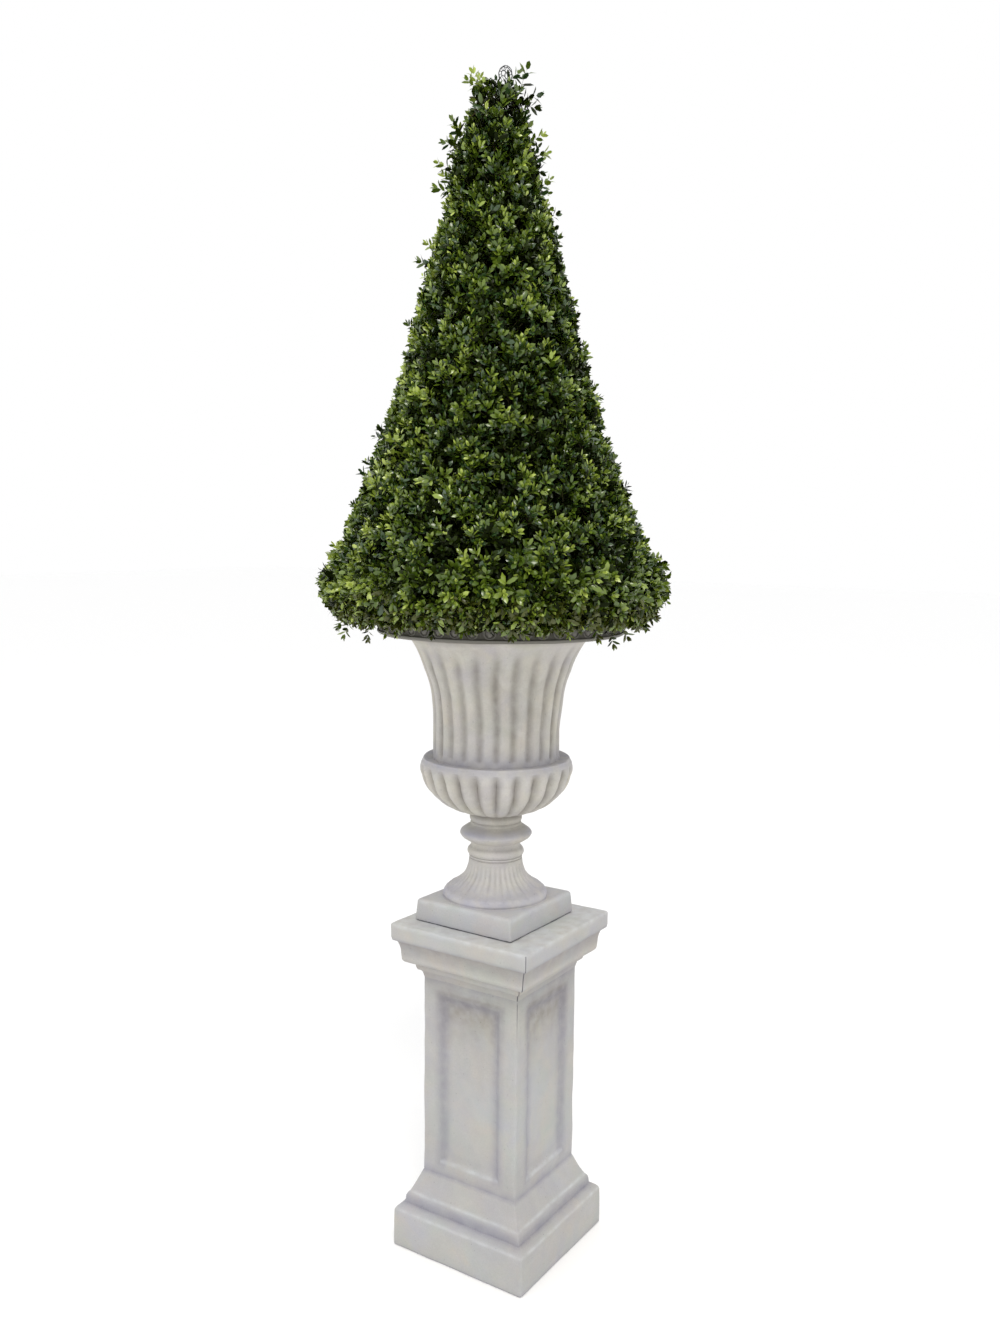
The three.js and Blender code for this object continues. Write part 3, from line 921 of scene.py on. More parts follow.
# The bell's outside is fluted; its mouth is then turned inwards and down into the pot.
def makeBell(settings):
    height = sizeOf("urn_bell")[1]
    ledge = (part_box("urn_collar")[0].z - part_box("urn_bell")[0].z) / mm + settings["ledgeHeight"]
    bell = settings["bellRadius"]

    def fluteDepth(r, z):
        fade = math.sin(math.pi / 2 * rampBetween(z, *settings["fluteFade"]))
        return rampBetween(z - ledge, *settings["fluteRise"]) * fade

    turnedStone("fluted_bell", "urn_bell", [
        (bell, ledge - 2, 0.4, 0), (bell, ledge + 8, 0.35, 0.01), (bell, 5, 0.2, 0.01),
        (bell, 54, 0.05, 0.01), (bell + 7, 134, 0, -1), (bell + 22, 189, 0, -1.5),
        (bell + 48, 250, 0, -2.5), (bell + 62, 264, 0.6, -0.5), (256, height - 2, 1, 0), (257, height, 1, 0),
    ], 9, fluteGrooves, fluteDepth, (unevenness, fluteSwing),
        [(257, height), (186, height), (166, height - 36), (129, 119), (127, 18)])


# Radius, and height above the ring's foot, in millimetres: the ornament lies in the sunk band.
# Sizes of an egg are its half-width, depth and half-height; a dart's its half-width, depth and
# height. The egg's frame stands clear of it all round.
ringSettings = {
    "outline": ((270, 0), (273, 1.5), (275, 4), (275, 6.5), (271, 8.5), (270, 10), (270, 34), (272, 36),
                (275, 38), (274.5, 41), (271, 43)),
    "bandRadius": 270 * mm,
    "innerRadius": 246 * mm,
    "sides": 188,
    "eggCount": 47,
    "bandMiddle": 22 * mm,
    "eggSize": (9.2 * mm, 4.6 * mm, 10 * mm),
    "frameGap": 3 * mm,
    "frameDepth": 9 * mm,
    "dartSize": (3 * mm, 3.2 * mm, 23 * mm),
    "tones": ((0.3, "#57554d"), (0.62, "#625f58"), (1.0, "#69675f")),
}

# Moulded resin painted lead grey: satin, with painted shade in the hollows, and paler where it stands out,
# partly rubbed and partly painted highlight.
leadGrey = mottledMaterial("lead grey painted resin", 0.52, ringSettings["tones"], 9 * mm, share=0.7)


# How far each point stands out of the ring's sunk band, from 0 to 0.6, is kept for its colour.
def finishRing(piece, name, smoothAngle):
    closeNormals(piece)
    out = fromAxis(readPoints(piece), ringCentre) - ringSettings["bandRadius"]
    writeAttribute(piece, "raised", 0.6 * rampBetween(out, 0, 5 * mm))
    finishPiece(piece, name, leadGrey, ["urn_rim"], smoothAngle)


def makeRing(settings):
    outline = [(radius * mm, ringLow.z + height * mm) for radius, height in settings["outline"]]
    piece = raiseCourse(outline, settings["sides"], ringCentre)
    editMode(piece)
    selectWhere(piece, "FACE", lambda face: len(face.verts) > 8)
    bpy.ops.mesh.inset(thickness=outline[0][0] - settings["innerRadius"], depth=0)
    selectWhere(piece, "FACE", lambda face: len(face.verts) > 8)
    bpy.ops.mesh.bridge_edge_loops()
    objectMode()
    finishRing(piece, "ring_moulding", 40)


# One egg in its frame and one dart, copied round the ring: the old egg and dart ornament.
def makeEggAndDart(settings):
    radius, count = settings["bandRadius"], settings["eggCount"]
    band = ringLow.z + settings["bandMiddle"]
    place = (ringCentre[0] + radius, ringCentre[1], band)
    wide, deep, tall = settings["eggSize"]
    gap = settings["frameGap"]
    egg = shapeFrom(
        bpy.ops.mesh.primitive_uv_sphere_add, (deep, wide, tall),
        segments=12, ring_count=8, radius=1, location=place,
    )
    editMode(egg)
    selectWhere(egg, "VERT", lambda vertex: vertex.co.z < band - 0.3 * tall)
    bpy.ops.transform.resize(value=(1, 0.8, 1), center_override=place)
    selectWhere(egg, "VERT", lambda vertex: vertex.co.x < place[0] - 0.1 * mm)
    bpy.ops.mesh.delete(type="VERT")
    objectMode()
    frameRing = shapeFrom(
        bpy.ops.mesh.primitive_torus_add, (tall + gap, wide + gap, settings["frameDepth"]),
        major_segments=16, minor_segments=5, major_radius=1, minor_radius=0.13,
        location=(place[0] + 0.6 * mm, place[1], band), rotation=(0, math.pi / 2, 0),
    )
    halfWidth, depth, height = settings["dartSize"]
    turn = math.pi / count
    dart = shapeFrom(
        bpy.ops.mesh.primitive_cone_add, (depth, halfWidth, height),
        vertices=4, radius1=1, radius2=0, depth=1, rotation=(math.pi, 0, turn),
        location=(ringCentre[0] + radius * math.cos(turn), ringCentre[1] + radius * math.sin(turn), band),
    )
    startClean()
    for part in (dart, frameRing, egg):
        part.select_set(True)
    bpy.context.view_layer.objects.active = egg
    bpy.ops.object.join()
    editMode(egg)
    bpy.ops.mesh.spin(
        steps=count - 1, dupli=True, angle=2 * math.pi * (count - 1) / count,
        center=(*ringCentre, band), axis=(0, 0, 1),
    )
    objectMode()
    finishRing(egg, "egg_and_dart", 60)


# Radius and height in millimetres: the filling follows the pot's inside up to the ring.
fillingSettings = {
    "outline": ((125.5, 1175), (127.5, 1275), (164, 1388.5), (184, 1426), (230, 1427), (231, 1449),
                (224, 1452)),
    "unevenness": 4,
    "chips": 420,
    "chipSize": (16 * mm, 9 * mm, 4 * mm),
    "chipReach": 222 * mm,
    "tones": ((0.35, "#3a2a1f"), (0.7, "#5b4432")),
}


# Pine bark from the potting mix: matt, flaky and brown, darker where it is damp.
def makeFilling(settings):
    material = mottledMaterial("chipped pine bark", 0.9, settings["tones"], 12 * mm, 5)
    outline = [(radius * mm, height * mm) for radius, height in settings["outline"]]
    piece = raiseCourse(outline, 72, urnCentre)
    closeNormals(piece)
    cutEvenly(piece, 24 * mm)
    makeUneven(piece, unevenness, settings["unevenness"])
    finishPiece(piece, "potting_mix", material, ["pot_filling"], 50)

    random = np.random.default_rng(seedOfAll + 3)
    count = settings["chips"]
    radius = settings["chipReach"] * np.sqrt(random.random(count))
    angle = 2 * math.pi * random.random(count)
    top = outline[-1][1] + 2 * mm * random.random(count)
    middle = np.stack([radius * np.cos(angle), radius * np.sin(angle), top], axis=1) + [*urnCentre, 0]
    corners = np.array([(x, y, z) for x in (-1, 1) for y in (-1, 1) for z in (-1, 1)]) * 0.5
    corners = corners * np.array(settings["chipSize"]) * (0.6 + 0.6 * random.random((count, 8, 3)))
    turn = 2 * math.pi * random.random(count)[:, None]
    flat = turnedPair(corners[..., 0], corners[..., 1], -turn)
    points = np.stack([*flat, corners[..., 2]], axis=2) + middle[:, None]
    sides = ((0, 1, 3, 2), (4, 6, 7, 5), (0, 4, 5, 1), (2, 3, 7, 6), (0, 2, 6, 4), (1, 5, 7, 3))
    faces = [tuple(corner + 8 * chip for corner in side) for chip in range(count) for side in sides]
    joinedMesh("bark_chips", points.reshape(-1, 3), faces, material, ["pot_filling"])


makeFootPlate(urnSettings)
makeSocle(urnSettings)
makeKnop(urnSettings)
makeBowl(urnSettings)
makeCollar(urnSettings)
makeBell(urnSettings)
makeRing(ringSettings)
makeEggAndDart(ringSettings)
makeFilling(fillingSettings)
print("urn is built")


# The rule that the plant grows by: the clipped surface round the cone's axis, the dense inside,
# and the urn's ring that leaves keep off. The radius grows downwards from the shoulder, evenly
# at first and then with the skirt's flare. Leaves are widest at the edge's height, and none
# stands further out than the widest. The sway is to the right, at a height, with its reach, and
# the belly is outwards.
coneSettings = {
    "top": 2629 * mm,
    "shoulder": 2562 * mm,
    "dome": 38 * mm,
    "shoulderRadius": 55 * mm,
    "edge": 1540 * mm,
    "radius": 383 * mm,
    "widest": 393 * mm,
    "flare": 84 * mm,
    "skirtBottom": 1447 * mm,
    "skirtTop": 1570 * mm,
    "skirtTuck": 50 * mm,
    "sway": (-5 * mm, 2392 * mm, 75 * mm),
    "belly": (6 * mm, 2170 * mm, 150 * mm),
    "coreUnderside": 1476 * mm,
    "coreTop": 2540 * mm,
    "coreInset": 52 * mm,
    "coreShare": 0.5,
    "ringReach": 283 * mm,
    "ringTop": 1471 * mm,
}

# Sprigs stand so far apart on the clipped surface. Lifts and turns are in radians. A leaf may
# stand a little free of the surface; long sprigs have grown on since the last cut, and those
# over the young top are young and bright. The open tip's sprigs are bare further back, and the
# skirt's lower edge is ragged by its fringe. Two slow waves round the cone make it swell.
sprigSettings = {
    "spacing": 21.8 * mm,
    "sizes": (0.84, 1.06),
    "topSize": 1.2,
    "skirtSize": 1.16,
    "sideLift": 0.85,
    "skirtLift": (-1.25, 0.8),
    "skirtLiftHeight": 75 * mm,
    "skirtCrowding": 1.4,
    "topCrowding": 0.62,
    "topOpens": 2475 * mm,
    "wander": 1.0,
    "free": (3 * mm, 15 * mm),
    "longFree": 26 * mm,
    "longShare": 0.05,
    "depths": (0 * mm, 8 * mm, 20 * mm, 38 * mm),
    "depthShares": (0.43, 0.29, 0.19, 0.09),
    "templates": 32,
    "tuftTemplates": 5,
    "topPairs": 4,
    "youngTop": 2590 * mm,
    "swellSize": 120 * mm,
    "swellWaves": ((5, 2 * math.pi, 0), (3, -4.1, 1.3)),
    "swellDepth": 8 * mm,
    "undersideReach": (286 * mm, 352 * mm),
    "fringe": (7 * mm, 22 * mm),
}

# One sprig: a shoot with side shoots, each with opposite leaves, every pair a quarter turn on.
# Lengths are in millimetres, back from the shoot's tip, and spreads in degrees out from it.
shootSettings = {
    "pairPlaces": (0.5, 6, 13, 21.5, 31, 41),
    "pairSpread": (19, 36, 47, 53, 57, 60),
    "pairSizes": (0.55, 0.78, 0.95, 1, 1, 1),
    "sidePairs": 4,
    "sideShoots": (2, 4),
    "sidePlaces": (26, 50),
    "sideAngle": (30, 52),
    "sideLength": (28, 42),
    "spreadJitter": 9,
    "turnJitter": 14,
    "rollJitter": 24,
    "sizeJitter": 0.14,
    "twigRadius": 1.3 * mm,
    "twigSink": 40 * mm,
}

# A boxwood leaf is a pointed oval that arches gently over its midrib: its foot, the points round
# its edge, and one on the midrib.
leafSettings = {
    "length": 22.5 * mm,
    "width": 11 * mm,
    "along": (0, 0.24, 0.7, 1, 0.7, 0.24, 0.5),
    "across": (0, 0.4, 0.43, 0, -0.43, -0.4, 0),
    "rise": (-0.02, -0.02, -0.04, -0.11, -0.04, -0.02, 0.055),
    "roughness": 0.26,
}

# Sprigs that the shears missed at the sides and at the ragged tip, and those that hang from the
# skirt: how far to the right of the axis and how high each tip stands, seen from in front, its
# lift and its size. Their twigs start so far back from their tips, and those low enough to meet
# the ring hang a distance from its middle. The topmost are young and light.
tuftSettings = {
    "places": (
        (-52, 2611, 75, 1), (-66, 2597, 40, 0.85), (-38, 2598, 80, 0.85), (46, 2612, 45, 1),
        (66, 2628, 70, 1.1), (88, 2562, 15, 1.1), (84, 2538, -5, 1.1), (66, 2550, 40, 1),
        (-94, 2512, 65, 1.05), (-86, 2496, 50, 1), (-112, 2466, 20, 1), (-96, 2478, 60, 0.95),
        (108, 2448, 10, 1.15), (96, 2436, -10, 1), (-120, 2421, 25, 1), (-108, 2400, 55, 1),
        (-126, 2372, 20, 1), (98, 2482, 35, 0.9), (118, 2392, 40, 1.1), (112, 2362, 10, 1),
        (134, 2322, 20, 1), (168, 2112, 40, 1), (192, 2008, 40, 1), (214, 1932, 35, 1),
        (290, 1690, 25, 1), (-189, 2090, 45, 1), (-255, 1826, 35, 1), (-290, 1774, 40, 1.05),
        (-150, 2262, 30, 1), (-166, 2222, 15, 1.1), (-331, 1412, -70, 0.95), (-345, 1432, -60, 0.9),
        (-268, 1416, -80, 0.85), (-222, 1430, -80, 0.9), (-196, 1436, -80, 0.85), (-120, 1440, -80, 0.9),
        (-60, 1444, -75, 0.85), (40, 1440, -80, 0.9), (155, 1442, -75, 0.85), (216, 1432, -75, 0.9),
        (252, 1416, -70, 0.9), (288, 1426, -60, 0.9), (345, 1437, -60, 0.9), (318, 1438, -70, 0.8),
    ),
    "lowest": 1384 * mm,
    "reach": 105 * mm,
    "hangingReach": 304 * mm,
    "tone": 0.22,
}

frontTurn = math.radians(cameraSettings["heading"])
toRight = np.array([math.cos(frontTurn), math.sin(frontTurn), 0])
toBack = np.array([-math.sin(frontTurn), math.cos(frontTurn), 0])
coneCentre = np.array([*middleOf("stem"), 0])
ringPlace = np.array([*ringCentre, 0])
foliageNodes = ("foliage_skirt", "foliage_middle", "foliage_tip")


# Points round the cone's axis at a radius, an angle and a height.
def roundAxis(radius, angle, height):
    return np.stack(np.broadcast_arrays(radius * np.cos(angle), radius * np.sin(angle), height), axis=-1)


def clippedRadius(height):
    cone = coneSettings
    fall = rampBetween(height, cone["shoulder"], cone["edge"])
    straight = cone["radius"] - cone["shoulderRadius"] - cone["flare"]
    radius = cone["shoulderRadius"] + straight * fall + cone["flare"] * fall ** 4
    swelling, middle, reach = cone["belly"]
    above = np.clip((height - cone["shoulder"]) / cone["dome"], 0, 1)
    below = np.maximum(0, cone["edge"] - height) / (cone["edge"] - cone["skirtBottom"])
    radius = radius + swelling * humpAt(height, middle, reach)
    return radius * np.sqrt(1 - above ** 2) - cone["skirtTuck"] * below ** 2


# The cone isn't quite straight: near its tip it sways aside.
def swayAt(height):
    aside, middle, reach = coneSettings["sway"]
    return aside * humpAt(height[..., None], middle, reach) * toRight


def coreRadius(height):
    radius = clippedRadius(height)
    return radius - np.minimum(coneSettings["coreInset"], radius * coneSettings["coreShare"])


# True where a leaf may be: under the clipped surface or a little out of it, above a lowest height
# of its own, and clear of the urn's ring. Points count from the cone's axis.
def insideSpace(points, free, bottom):
    cone = coneSettings
    x, y, height = points[..., 0], points[..., 1], points[..., 2]
    inside = (height > bottom) & (height < cone["top"])
    inside &= np.hypot(x, y) < np.minimum(clippedRadius(height) + free, cone["widest"])
    ring = points + coneCentre - ringPlace
    clear = np.hypot(ring[..., 0], ring[..., 1]) > cone["ringReach"]
    return inside & (clear | (height > cone["ringTop"]))


def reachAlong(origins, directions, longest=150 * mm, step=2 * mm):
    reach = np.zeros(len(origins))
    going = np.ones(len(origins), bool)
    for distance in np.arange(step, longest, step):
        going &= insideSpace(origins + directions * distance, 0, coneSettings["skirtBottom"])
        reach[going] = distance
    return reach


def directionsFrom(angle, lift, random):
    wander = sprigSettings["wander"]
    swung = angle + wander * (random.random(len(angle)) - 0.5)
    lifted = lift + wander * (random.random(len(angle)) - 0.5)
    return roundAxis(np.cos(lifted), swung, np.sin(lifted))


# Sprigs stand evenly over the clipped surface, and round the axis by the golden angle.
def surfaceSprigs(random):
    cone, rule = coneSettings, sprigSettings
    heights = np.linspace(cone["coreUnderside"], cone["coreTop"] + 50 * mm, 1200)
    crowding = np.where(heights < cone["skirtTop"], rule["skirtCrowding"], 1)
    crowding = np.where(heights > rule["topOpens"], rule["topCrowding"], crowding)
    slant = np.hypot(1, np.gradient(clippedRadius(heights), heights))
    weight = np.cumsum(clippedRadius(heights) * crowding * slant) * (heights[1] - heights[0])
    count = int(2 * math.pi * weight[-1] / rule["spacing"] ** 2)
    height = np.interp((np.arange(count) + 0.5) / count, weight / weight[-1], heights)
    angle = np.arange(count) * goldenAngle + 0.5 * random.random(count)
    skirt = rule["skirtLift"][0] + (height - cone["coreUnderside"]) / rule["skirtLiftHeight"]
    origins = roundAxis(coreRadius(np.minimum(height, cone["coreTop"])), angle, height)
    directions = directionsFrom(angle, np.minimum(rule["sideLift"], skirt), random)
    swell = sum(np.sin(angle * times + height / rule["swellSize"] * climb + start)
                for times, climb, start in rule["swellWaves"])
    depth = random.choice(rule["depths"], count, p=rule["depthShares"]) * (0.6 + 0.8 * random.random(count))
    inset = depth + rule["swellDepth"] * (0.5 + 0.25 * swell)
    free = within(rule["free"], random.random(count))
    isLong = random.random(count) < rule["longShare"]
    free = np.where(isLong, rule["longFree"], free)
    inset = np.where(isLong, -0.6 * rule["longFree"] * random.random(count), inset)
    reach = np.maximum(reachAlong(origins, directions) - inset, 4 * mm)
    bottom = cone["skirtBottom"] + rule["fringe"][0] - rule["fringe"][1] * random.random(count) ** 2
    return origins, origins + directions * reach[:, None], depth, free, bottom


# More sprigs close the skirt's underside between the urn's ring and the skirt's edge.
def undersideSprigs(random):
    cone, rule = coneSettings, sprigSettings
    low, high = rule["undersideReach"]
    count = int(math.pi * (high ** 2 - low ** 2) / rule["spacing"] ** 2 * 1.3)
    radius = np.sqrt(low ** 2 + (high ** 2 - low ** 2) * random.random(count))
    angle = np.arange(count) * goldenAngle
    origins = roundAxis(radius, angle, cone["coreUnderside"] + 26 * mm)
    directions = directionsFrom(angle, np.full(count, rule["skirtLift"][0]), random)
    hang = rule["fringe"][1] * random.random(count) ** 2
    tips = origins + directions * (30 * mm + hang)[:, None]
    bottom = cone["skirtBottom"] + rule["fringe"][0] - hang
    return origins, tips, np.full(count, 12 * mm), np.full(count, 4 * mm), bottom


def tuftSprigs(random):
    rule = tuftSettings
    origins, tips = [], []
    for side, height, lift, size in rule["places"]:
        tip = toRight * side * mm + toBack * 24 * mm * (random.random() - 0.5)
        if height * mm < coneSettings["skirtBottom"] + 5 * mm:
            ring = ringPlace - coneCentre
            aside = side * mm - ring @ toRight
            tip -= toBack * (math.sqrt(max(0, rule["hangingReach"] ** 2 - aside ** 2)) - ring @ toBack)
        tip[2] = height * mm
        rise = math.radians(lift)
        direction = toRight * math.cos(rise) * math.copysign(1, side)
        direction = direction + toBack * 0.5 * (random.random() - 0.5)
        direction[2] = math.sin(rise)
        tips.append(tip)
        origins.append(tip - unit(direction) * rule["reach"])
    count = len(tips)
    free = np.full(count, 90 * mm)
    return np.array(origins), np.array(tips), np.zeros(count), free, np.full(count, rule["lowest"])


def unit(vector):
    return vector / np.linalg.norm(vector)


# Leaves of one shoot, in pairs from its tip, and each leaf's pair number.
def shootLeaves(tip, axis, pairs, random):
    rule, leaf = shootSettings, leafSettings
    jitter = lambda name: (random.random() * 2 - 1) * rule[name + "Jitter"]
    across = unit(np.cross(axis, [0.31, 0.84, 0.44]))
    other = np.cross(axis, across)
    first = random.random() * math.pi
    leaves, ranks = [], []
    for pair in range(pairs):
        foot = tip - axis * rule["pairPlaces"][pair] * mm
        for half in (0, math.pi):
            turn = first + pair * math.pi / 2 + half + math.radians(jitter("turn"))
            spread = math.radians(rule["pairSpread"][pair] + jitter("spread"))
            outward = turnedPair(across, other, turn)[0]
            along = turnedPair(axis, outward, spread)[0]
            up = unit(axis - along * (axis @ along))
            side = np.cross(up, along)
            side, up = turnedPair(side, up, math.radians(jitter("roll")))
            size = rule["pairSizes"][pair] * (1 + jitter("size"))
            leaves.append(foot + size * (
                np.outer(leaf["along"], along) * leaf["length"]
                + np.outer(leaf["across"], side) * leaf["width"]
                + np.outer(leaf["rise"], up) * leaf["length"]
            ))
            ranks.append(pair)
    return leaves, ranks


# A sprig with its tip at the origin and its shoot coming up along Z. A tuft has no side shoots.
def sprigTemplate(random, isTuft):
    rule = shootSettings
    pick = lambda limits: within(limits, random.random())
    upward = np.array([0, 0, 1.0])
    leaves, ranks = shootLeaves(np.zeros(3), upward, len(rule["pairPlaces"]), random)
    twigs = []
    count = 0 if isTuft else random.integers(*rule["sideShoots"])
    first = random.random() * 2 * math.pi
    for i in range(count):
        turn = first + i * 2 * math.pi / count + pick((-0.4, 0.4))
        lean = math.radians(pick(rule["sideAngle"]))
        axis = roundAxis(math.sin(lean), turn, math.cos(lean))
        foot = -upward * pick(rule["sidePlaces"]) * mm
        tip = foot + axis * pick(rule["sideLength"]) * mm
        more, moreRanks = shootLeaves(tip, axis, rule["sidePairs"], random)
        leaves += more
        ranks += moreRanks
        twigs.append((foot, tip))
    return np.array(leaves), np.array(ranks), np.array(twigs)


# Turns that carry +Z onto each direction, with a twist of each sprig round its own shoot.
def turnsOnto(directions, twist):
    helper = np.where(abs(directions[:, 2:3]) < 0.9, [[0, 0, 1.0]], [[1.0, 0, 0]])
    across = np.cross(helper, directions)
    across /= np.linalg.norm(across, axis=1, keepdims=True)
    other = np.cross(directions, across)
    return np.stack([*turnedPair(across, other, twist[:, None]), directions], axis=2)


# Leaf colours from the deep shade to the youngest tips, the share of each among the leaves, and
# how strongly it shines: what lies deep in the cone has nothing bright to mirror. Few leaves low
# on the skirt are bluish, and some at its foot are browning.
leafTones = {
    "shaded": ("#131a05", 0.24, 0.05),
    "deep": ("#243009", 0.18, 0.16),
    "bluish": ("#2c441e", 0.15, 0.75),
    "middle": ("#445913", 0.19, 0.65),
    "olive": ("#5c701d", 0.13, 0.7),
    "fresh": ("#7d9031", 0.08, 0.8),
    "lime": ("#a0b04c", 0.03, 0.75),
}
toneSettings = {
    "sprig": 0.46,
    "leaf": 0.26,
    "rank": 0.06,
    "depth": 9,
    "skirt": 0.03,
    "skirtHeights": (1700 * mm, 1550 * mm),
    "left": 0.12,
    "right": 0.06,
    "warmBelow": 1580 * mm,
    "warmShare": 0.75,
    "browning": ("#454b17", 0.4),
    "browningBelow": (1484 * mm, 1544 * mm),
    "browningShare": 0.55,
    "browningSlope": 0.3,
    "browningRadius": 330 * mm,
}

# Boxwood bark: thin, corky and dull, green on the young twigs and grey-brown on older wood.
def boxwoodBark(name, young, old):
    tones = ((0.4, young), (0.65, old))
    return mottledMaterial(name, 0.8, tones, 30 * mm, **{"Specular IOR Level": 0.3})


greenTwig = boxwoodBark("young boxwood twig", "#3c3e1c", "#43361f")
greyBark = boxwoodBark("old boxwood bark", "#6d6453", "#4d4537")


# Boxwood leaves: leathery, smooth and waxed above, so that each catches a soft pale shine.
def leafMesh(tone, leaves, colour, shine):
    rim = len(leafSettings["along"]) - 1
    shape = np.array([(point, (point + 1) % rim, rim) for point in range(rim)])
    faces = (shape + (rim + 1) * np.arange(len(leaves))[:, None, None]).reshape(-1, 3)
    look = {"Specular IOR Level": shine}
    material = plainMaterial(tone + " boxwood leaf", colour, leafSettings["roughness"], **look)
    joinedMesh("leaves_" + tone, leaves.reshape(-1, 3), faces, material, foliageNodes)


# Limbs taper from a foot of a few sides to a point.
def limbMesh(name, feet, tips, radii, sides, material):
    along = tips - feet
    turns = turnsOnto(along / np.linalg.norm(along, axis=1)[:, None], np.zeros(len(along)))
    angles = [2 * math.pi * side / sides for side in range(sides)]
    points = [feet + radii[:, None] * (math.cos(a) * turns[:, :, 0] + math.sin(a) * turns[:, :, 1])
              for a in angles]
    points = np.stack([*points, tips], axis=1).reshape(-1, 3)
    shape = [*((side, (side + 1) % sides, sides) for side in range(sides)), tuple(reversed(range(sides)))]
    faces = [tuple(corner + (sides + 1) * limb for corner in face)
             for limb in range(len(feet)) for face in shape]
    joinedMesh(name, points, faces, material, foliageNodes)


def growTopiary():
    random = np.random.default_rng(seedOfAll)
    rule, shoot, shade = sprigSettings, shootSettings, toneSettings
    kinds = [surfaceSprigs(random), undersideSprigs(random), tuftSprigs(random)]
    origins, tips, depth, free, bottom = [np.concatenate(parts) for parts in zip(*kinds)]
    count = len(origins)
    directions = tips - origins
    directions /= np.linalg.norm(directions, axis=1, keepdims=True)
    turns = turnsOnto(directions, random.random(count) * 2 * math.pi)
    templates = [sprigTemplate(random, False) for _ in range(rule["templates"])]
    templates += [sprigTemplate(random, True) for _ in range(rule["tuftTemplates"])]
    chosen = random.integers(0, rule["templates"], count)
    scale = within(rule["sizes"], random.random(count))
    isTop = origins[:, 2] > rule["topOpens"]
    scale = np.where(isTop, rule["topSize"], 1) * scale
    scale = np.where(origins[:, 2] < coneSettings["skirtTop"], rule["skirtSize"], 1) * scale
    tufts = np.arange(count) >= count - len(tuftSettings["places"])
    bare = isTop | tufts
    chosen[bare] = rule["templates"] + np.arange(np.sum(bare)) % rule["tuftTemplates"]
    scale[tufts] = [size for *_, size in tuftSettings["places"]]
    pairs = np.where(isTop & ~tufts, rule["topPairs"], len(shoot["pairPlaces"]))
    # Painted shade: sprigs set deeper into the cone get darker leaf colours.
    tone = shade["sprig"] * random.random(count) - shade["depth"] * depth
    tone += tuftSettings["tone"] * (tufts & (tips[:, 2] > rule["youngTop"]))
    tone += shade["skirt"] * rampBetween(origins[:, 2], *shade["skirtHeights"])
    # Painted light: sprigs towards the cone's left and right edges, seen from in front, get lighter leaf
    # colours.
    side = tips @ toRight / np.hypot(*tips[:, :2].T)
    tone += np.where(side < 0, shade["left"], shade["right"]) * side ** 2

    allLeaves, allTones, feet, ends = [], [], [origins - directions * shoot["twigSink"]], [tips]
    for number, (leaves, ranks, twigs) in enumerate(templates):
        mine = np.nonzero(chosen == number)[0]
        turned = np.einsum("sij,lpj->slpi", turns[mine], leaves) * scale[mine, None, None, None]
        placed = turned + tips[mine, None, None, :]
        kept = insideSpace(placed, free[mine, None, None], bottom[mine, None, None]).all(axis=2)
        kept &= ranks[None] < pairs[mine, None]
        light = tone[mine, None] - shade["rank"] * ranks[None] + shade["leaf"] * random.random(kept.shape)
        allLeaves.append(placed[kept])
        allTones.append(light[kept])
        for twig in twigs:
            start, stop = [np.einsum("sij,j->si", turns[mine], end) * scale[mine, None] + tips[mine]
                           for end in twig]
            inside = insideSpace(stop, free[mine] - 8 * mm, bottom[mine] + 8 * mm)
            feet.append(start[inside])
            ends.append(stop[inside])
    leaves, feet, ends = [np.concatenate(parts) for parts in (allLeaves, feet, ends)]
    leaves, feet, ends = [points + swayAt(points[..., 2]) + coneCentre for points in (leaves, feet, ends)]
    return leaves, np.concatenate(allTones), feet, ends


def makeFoliage():
    leaves, light, feet, ends = growTopiary()
    print(len(leaves), "leaves and", len(feet), "twigs")
    rule = toneSettings
    middle = leaves.mean(axis=1)
    random = np.random.default_rng(seedOfAll + 1)
    outward = fromAxis(middle, coneCentre)
    low = within(rule["browningBelow"], random.random(len(leaves)))
    low = low - rule["browningSlope"] * (outward - rule["browningRadius"])
    browning = (middle[:, 2] < low) & (random.random(len(leaves)) < rule["browningShare"])
    order = np.argsort(light[~browning])
    rest, height = leaves[~browning][order], middle[~browning, 2][order]
    names = list(leafTones)
    shares = np.cumsum([share for _, share, _ in leafTones.values()])
    kind = np.searchsorted(shares[:-1], np.arange(len(rest)) / len(rest))
    warm = (height < rule["warmBelow"]) & (random.random(len(rest)) < rule["warmShare"])
    kind[warm & (kind == names.index("bluish"))] = names.index("olive")
    for number, (tone, (colour, _, shine)) in enumerate(leafTones.items()):
        leafMesh(tone, rest[kind == number], colour, shine)
    leafMesh("browning", leaves[browning], *rule["browning"])
    limbMesh("twigs", feet, ends, np.full(len(feet), shootSettings["twigRadius"]), 3, greenTwig)


# The inside of the cone: a near-black shell, painted shade that stands for the packed old twigs, where
# hardly any light comes through.
coreSettings = {
    "colour": "#0e1009",
    "shrink": 0.9,
    "narrowFrom": 2370 * mm,
    "top": 2480 * mm,
    "topRadius": 10 * mm,
    "sides": 72,
    "ringSpacing": 22 * mm,
    "unevenness": 5,
}


def makeCore(settings):
    material = plainMaterial("dark inner shade", settings["colour"], 0.95, **{"Specular IOR Level": 0.1})
    heights = np.arange(coneSettings["coreUnderside"], settings["top"], settings["ringSpacing"])
    narrow = rampBetween(heights, settings["top"], settings["narrowFrom"])
    radii = within((settings["topRadius"], coreRadius(heights) * settings["shrink"]), narrow)
    piece = raiseCourse(list(zip(radii, heights)), settings["sides"], coneCentre[:2])
    closeNormals(piece)
    makeUneven(piece, unevenness, settings["unevenness"])
    finishPiece(piece, "shade_core", material, foliageNodes, 60)


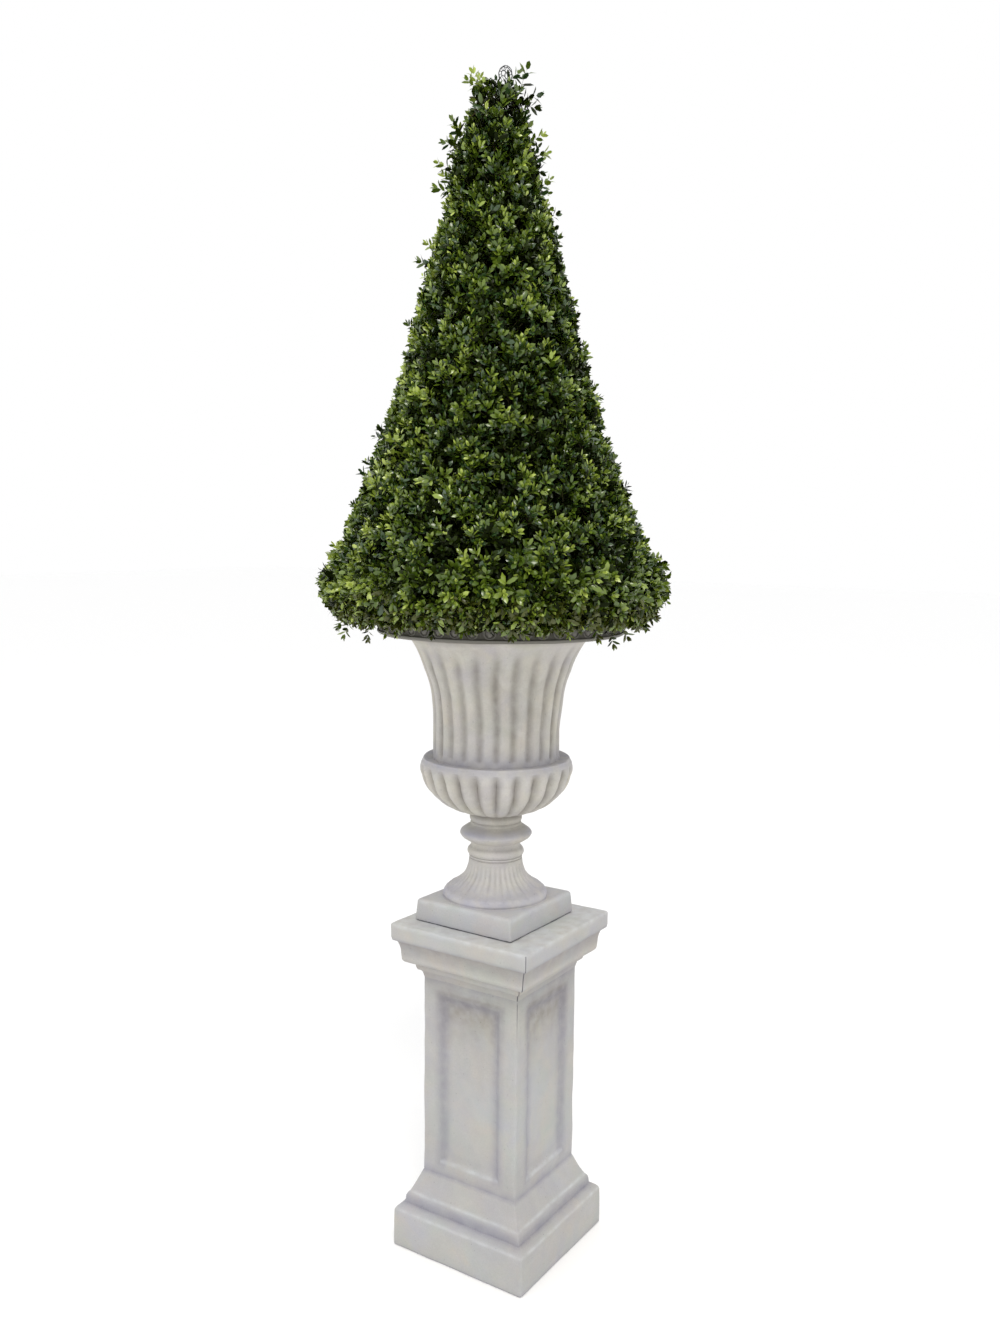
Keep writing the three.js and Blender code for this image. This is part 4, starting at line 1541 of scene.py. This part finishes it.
# The stem: bark relief runs over its root flare, and it ends inside the cone. Radii of the flare,
# the girth and the tip are in millimetres.
stemSettings = {
    "radii": (34, 21, 14),
    "girthHeight": 45,
    "sides": 40,
    "ringSteps": 20,
    "reliefSize": 9 * mm,
    "reliefDepth": 4 * mm,
}


def makeStem(settings):
    flare, girth, tip = settings["radii"]
    rows = [(flare, 0, 0, 0), (girth, settings["girthHeight"], 0, -3), (tip, sizeOf("stem")[1], 0, 0.4)]
    outline = outlineThrough(rows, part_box("stem")[0].z, settings["ringSteps"])
    piece = raiseCourse(outline, settings["sides"], coneCentre[:2])
    closeNormals(piece)
    texture = bpy.data.textures.new("barkRelief", "CLOUDS")
    texture.noise_scale = settings["reliefSize"]
    texture.noise_depth = 2
    applyModifier(piece, "DISPLACE", {
        "texture": texture, "texture_coords": "LOCAL", "mid_level": 0.7,
        "strength": settings["reliefDepth"],
    })
    finishPiece(piece, "stem_with_bark", greyBark, ["stem"], 50)


# A leader grows on from the stem, with boughs all round it that rise into the leaves.
boughSettings = {
    "leaderTop": 2566 * mm,
    "leaderRadius": 14 * mm,
    "count": 150,
    "lowest": 1600 * mm,
    "highest": 2600 * mm,
    "rise": 0.75,
    "reachShare": 0.72,
    "radius": 4.2 * mm,
}


def makeBoughs(settings):
    random = np.random.default_rng(seedOfAll + 2)
    count = settings["count"]
    height = np.linspace(settings["lowest"], settings["leaderTop"] - 20 * mm, count)
    feet = roundAxis(0, np.zeros(count), height)
    lift = settings["rise"] + 0.3 * (random.random(count) - 0.5)
    directions = roundAxis(np.cos(lift), np.arange(count) * goldenAngle, np.sin(lift))
    reach = clippedRadius(height) * settings["reachShare"]
    tips = feet + directions * reach[:, None]
    tips[:, 2] = np.minimum(tips[:, 2], settings["highest"])
    radii = [settings["leaderRadius"], *settings["radius"] * (0.4 + 0.6 * reach / reach.max())]
    feet = np.vstack([[0, 0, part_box("stem")[1].z - 20 * mm], feet]) + coneCentre
    tips = np.vstack([[0, 0, settings["leaderTop"]], tips]) + coneCentre
    limbMesh("leader_and_boughs", feet, tips, np.array(radii), 6, greyBark)


# A curl of the shaping frame's wire mesh stands out at the tip of the cone, to the right of the
# axis when it is seen from in front.
latticeSettings = {
    "side": 16 * mm,
    "height": 2605 * mm,
    "radius": 17 * mm,
    "stretch": 1.2,
    "wire": 1.5 * mm,
    "colour": "#1d2227",
}


# Wire dipped in dark blue-grey plastic: smooth, with a small dull shine.
def makeLattice(settings):
    material = plainMaterial("plastic coated wire", settings["colour"], 0.45)
    place = coneCentre + toRight * settings["side"] + [0, 0, settings["height"]]
    piece = shapeFrom(
        bpy.ops.mesh.primitive_ico_sphere_add, subdivisions=1, radius=settings["radius"], location=place,
    )
    editMode(piece)
    bpy.ops.mesh.bevel(offset_type="PERCENT", offset_pct=34, affect="VERTICES")
    selectAll()
    bpy.ops.transform.resize(value=(1, 1, settings["stretch"]), center_override=place)
    selectWhere(piece, "VERT", lambda vertex: vertex.co.z < place[2] - 0.75 * settings["radius"])
    bpy.ops.mesh.delete(type="VERT")
    objectMode()
    applyModifier(piece, "WIREFRAME", {"thickness": settings["wire"]})
    finishPiece(piece, "wire_mesh_curl", material, foliageNodes, 60)


makeStem(stemSettings)
makeBoughs(boughSettings)
makeCore(coreSettings)
makeFoliage()
makeLattice(latticeSettings)
print("topiary is grown")
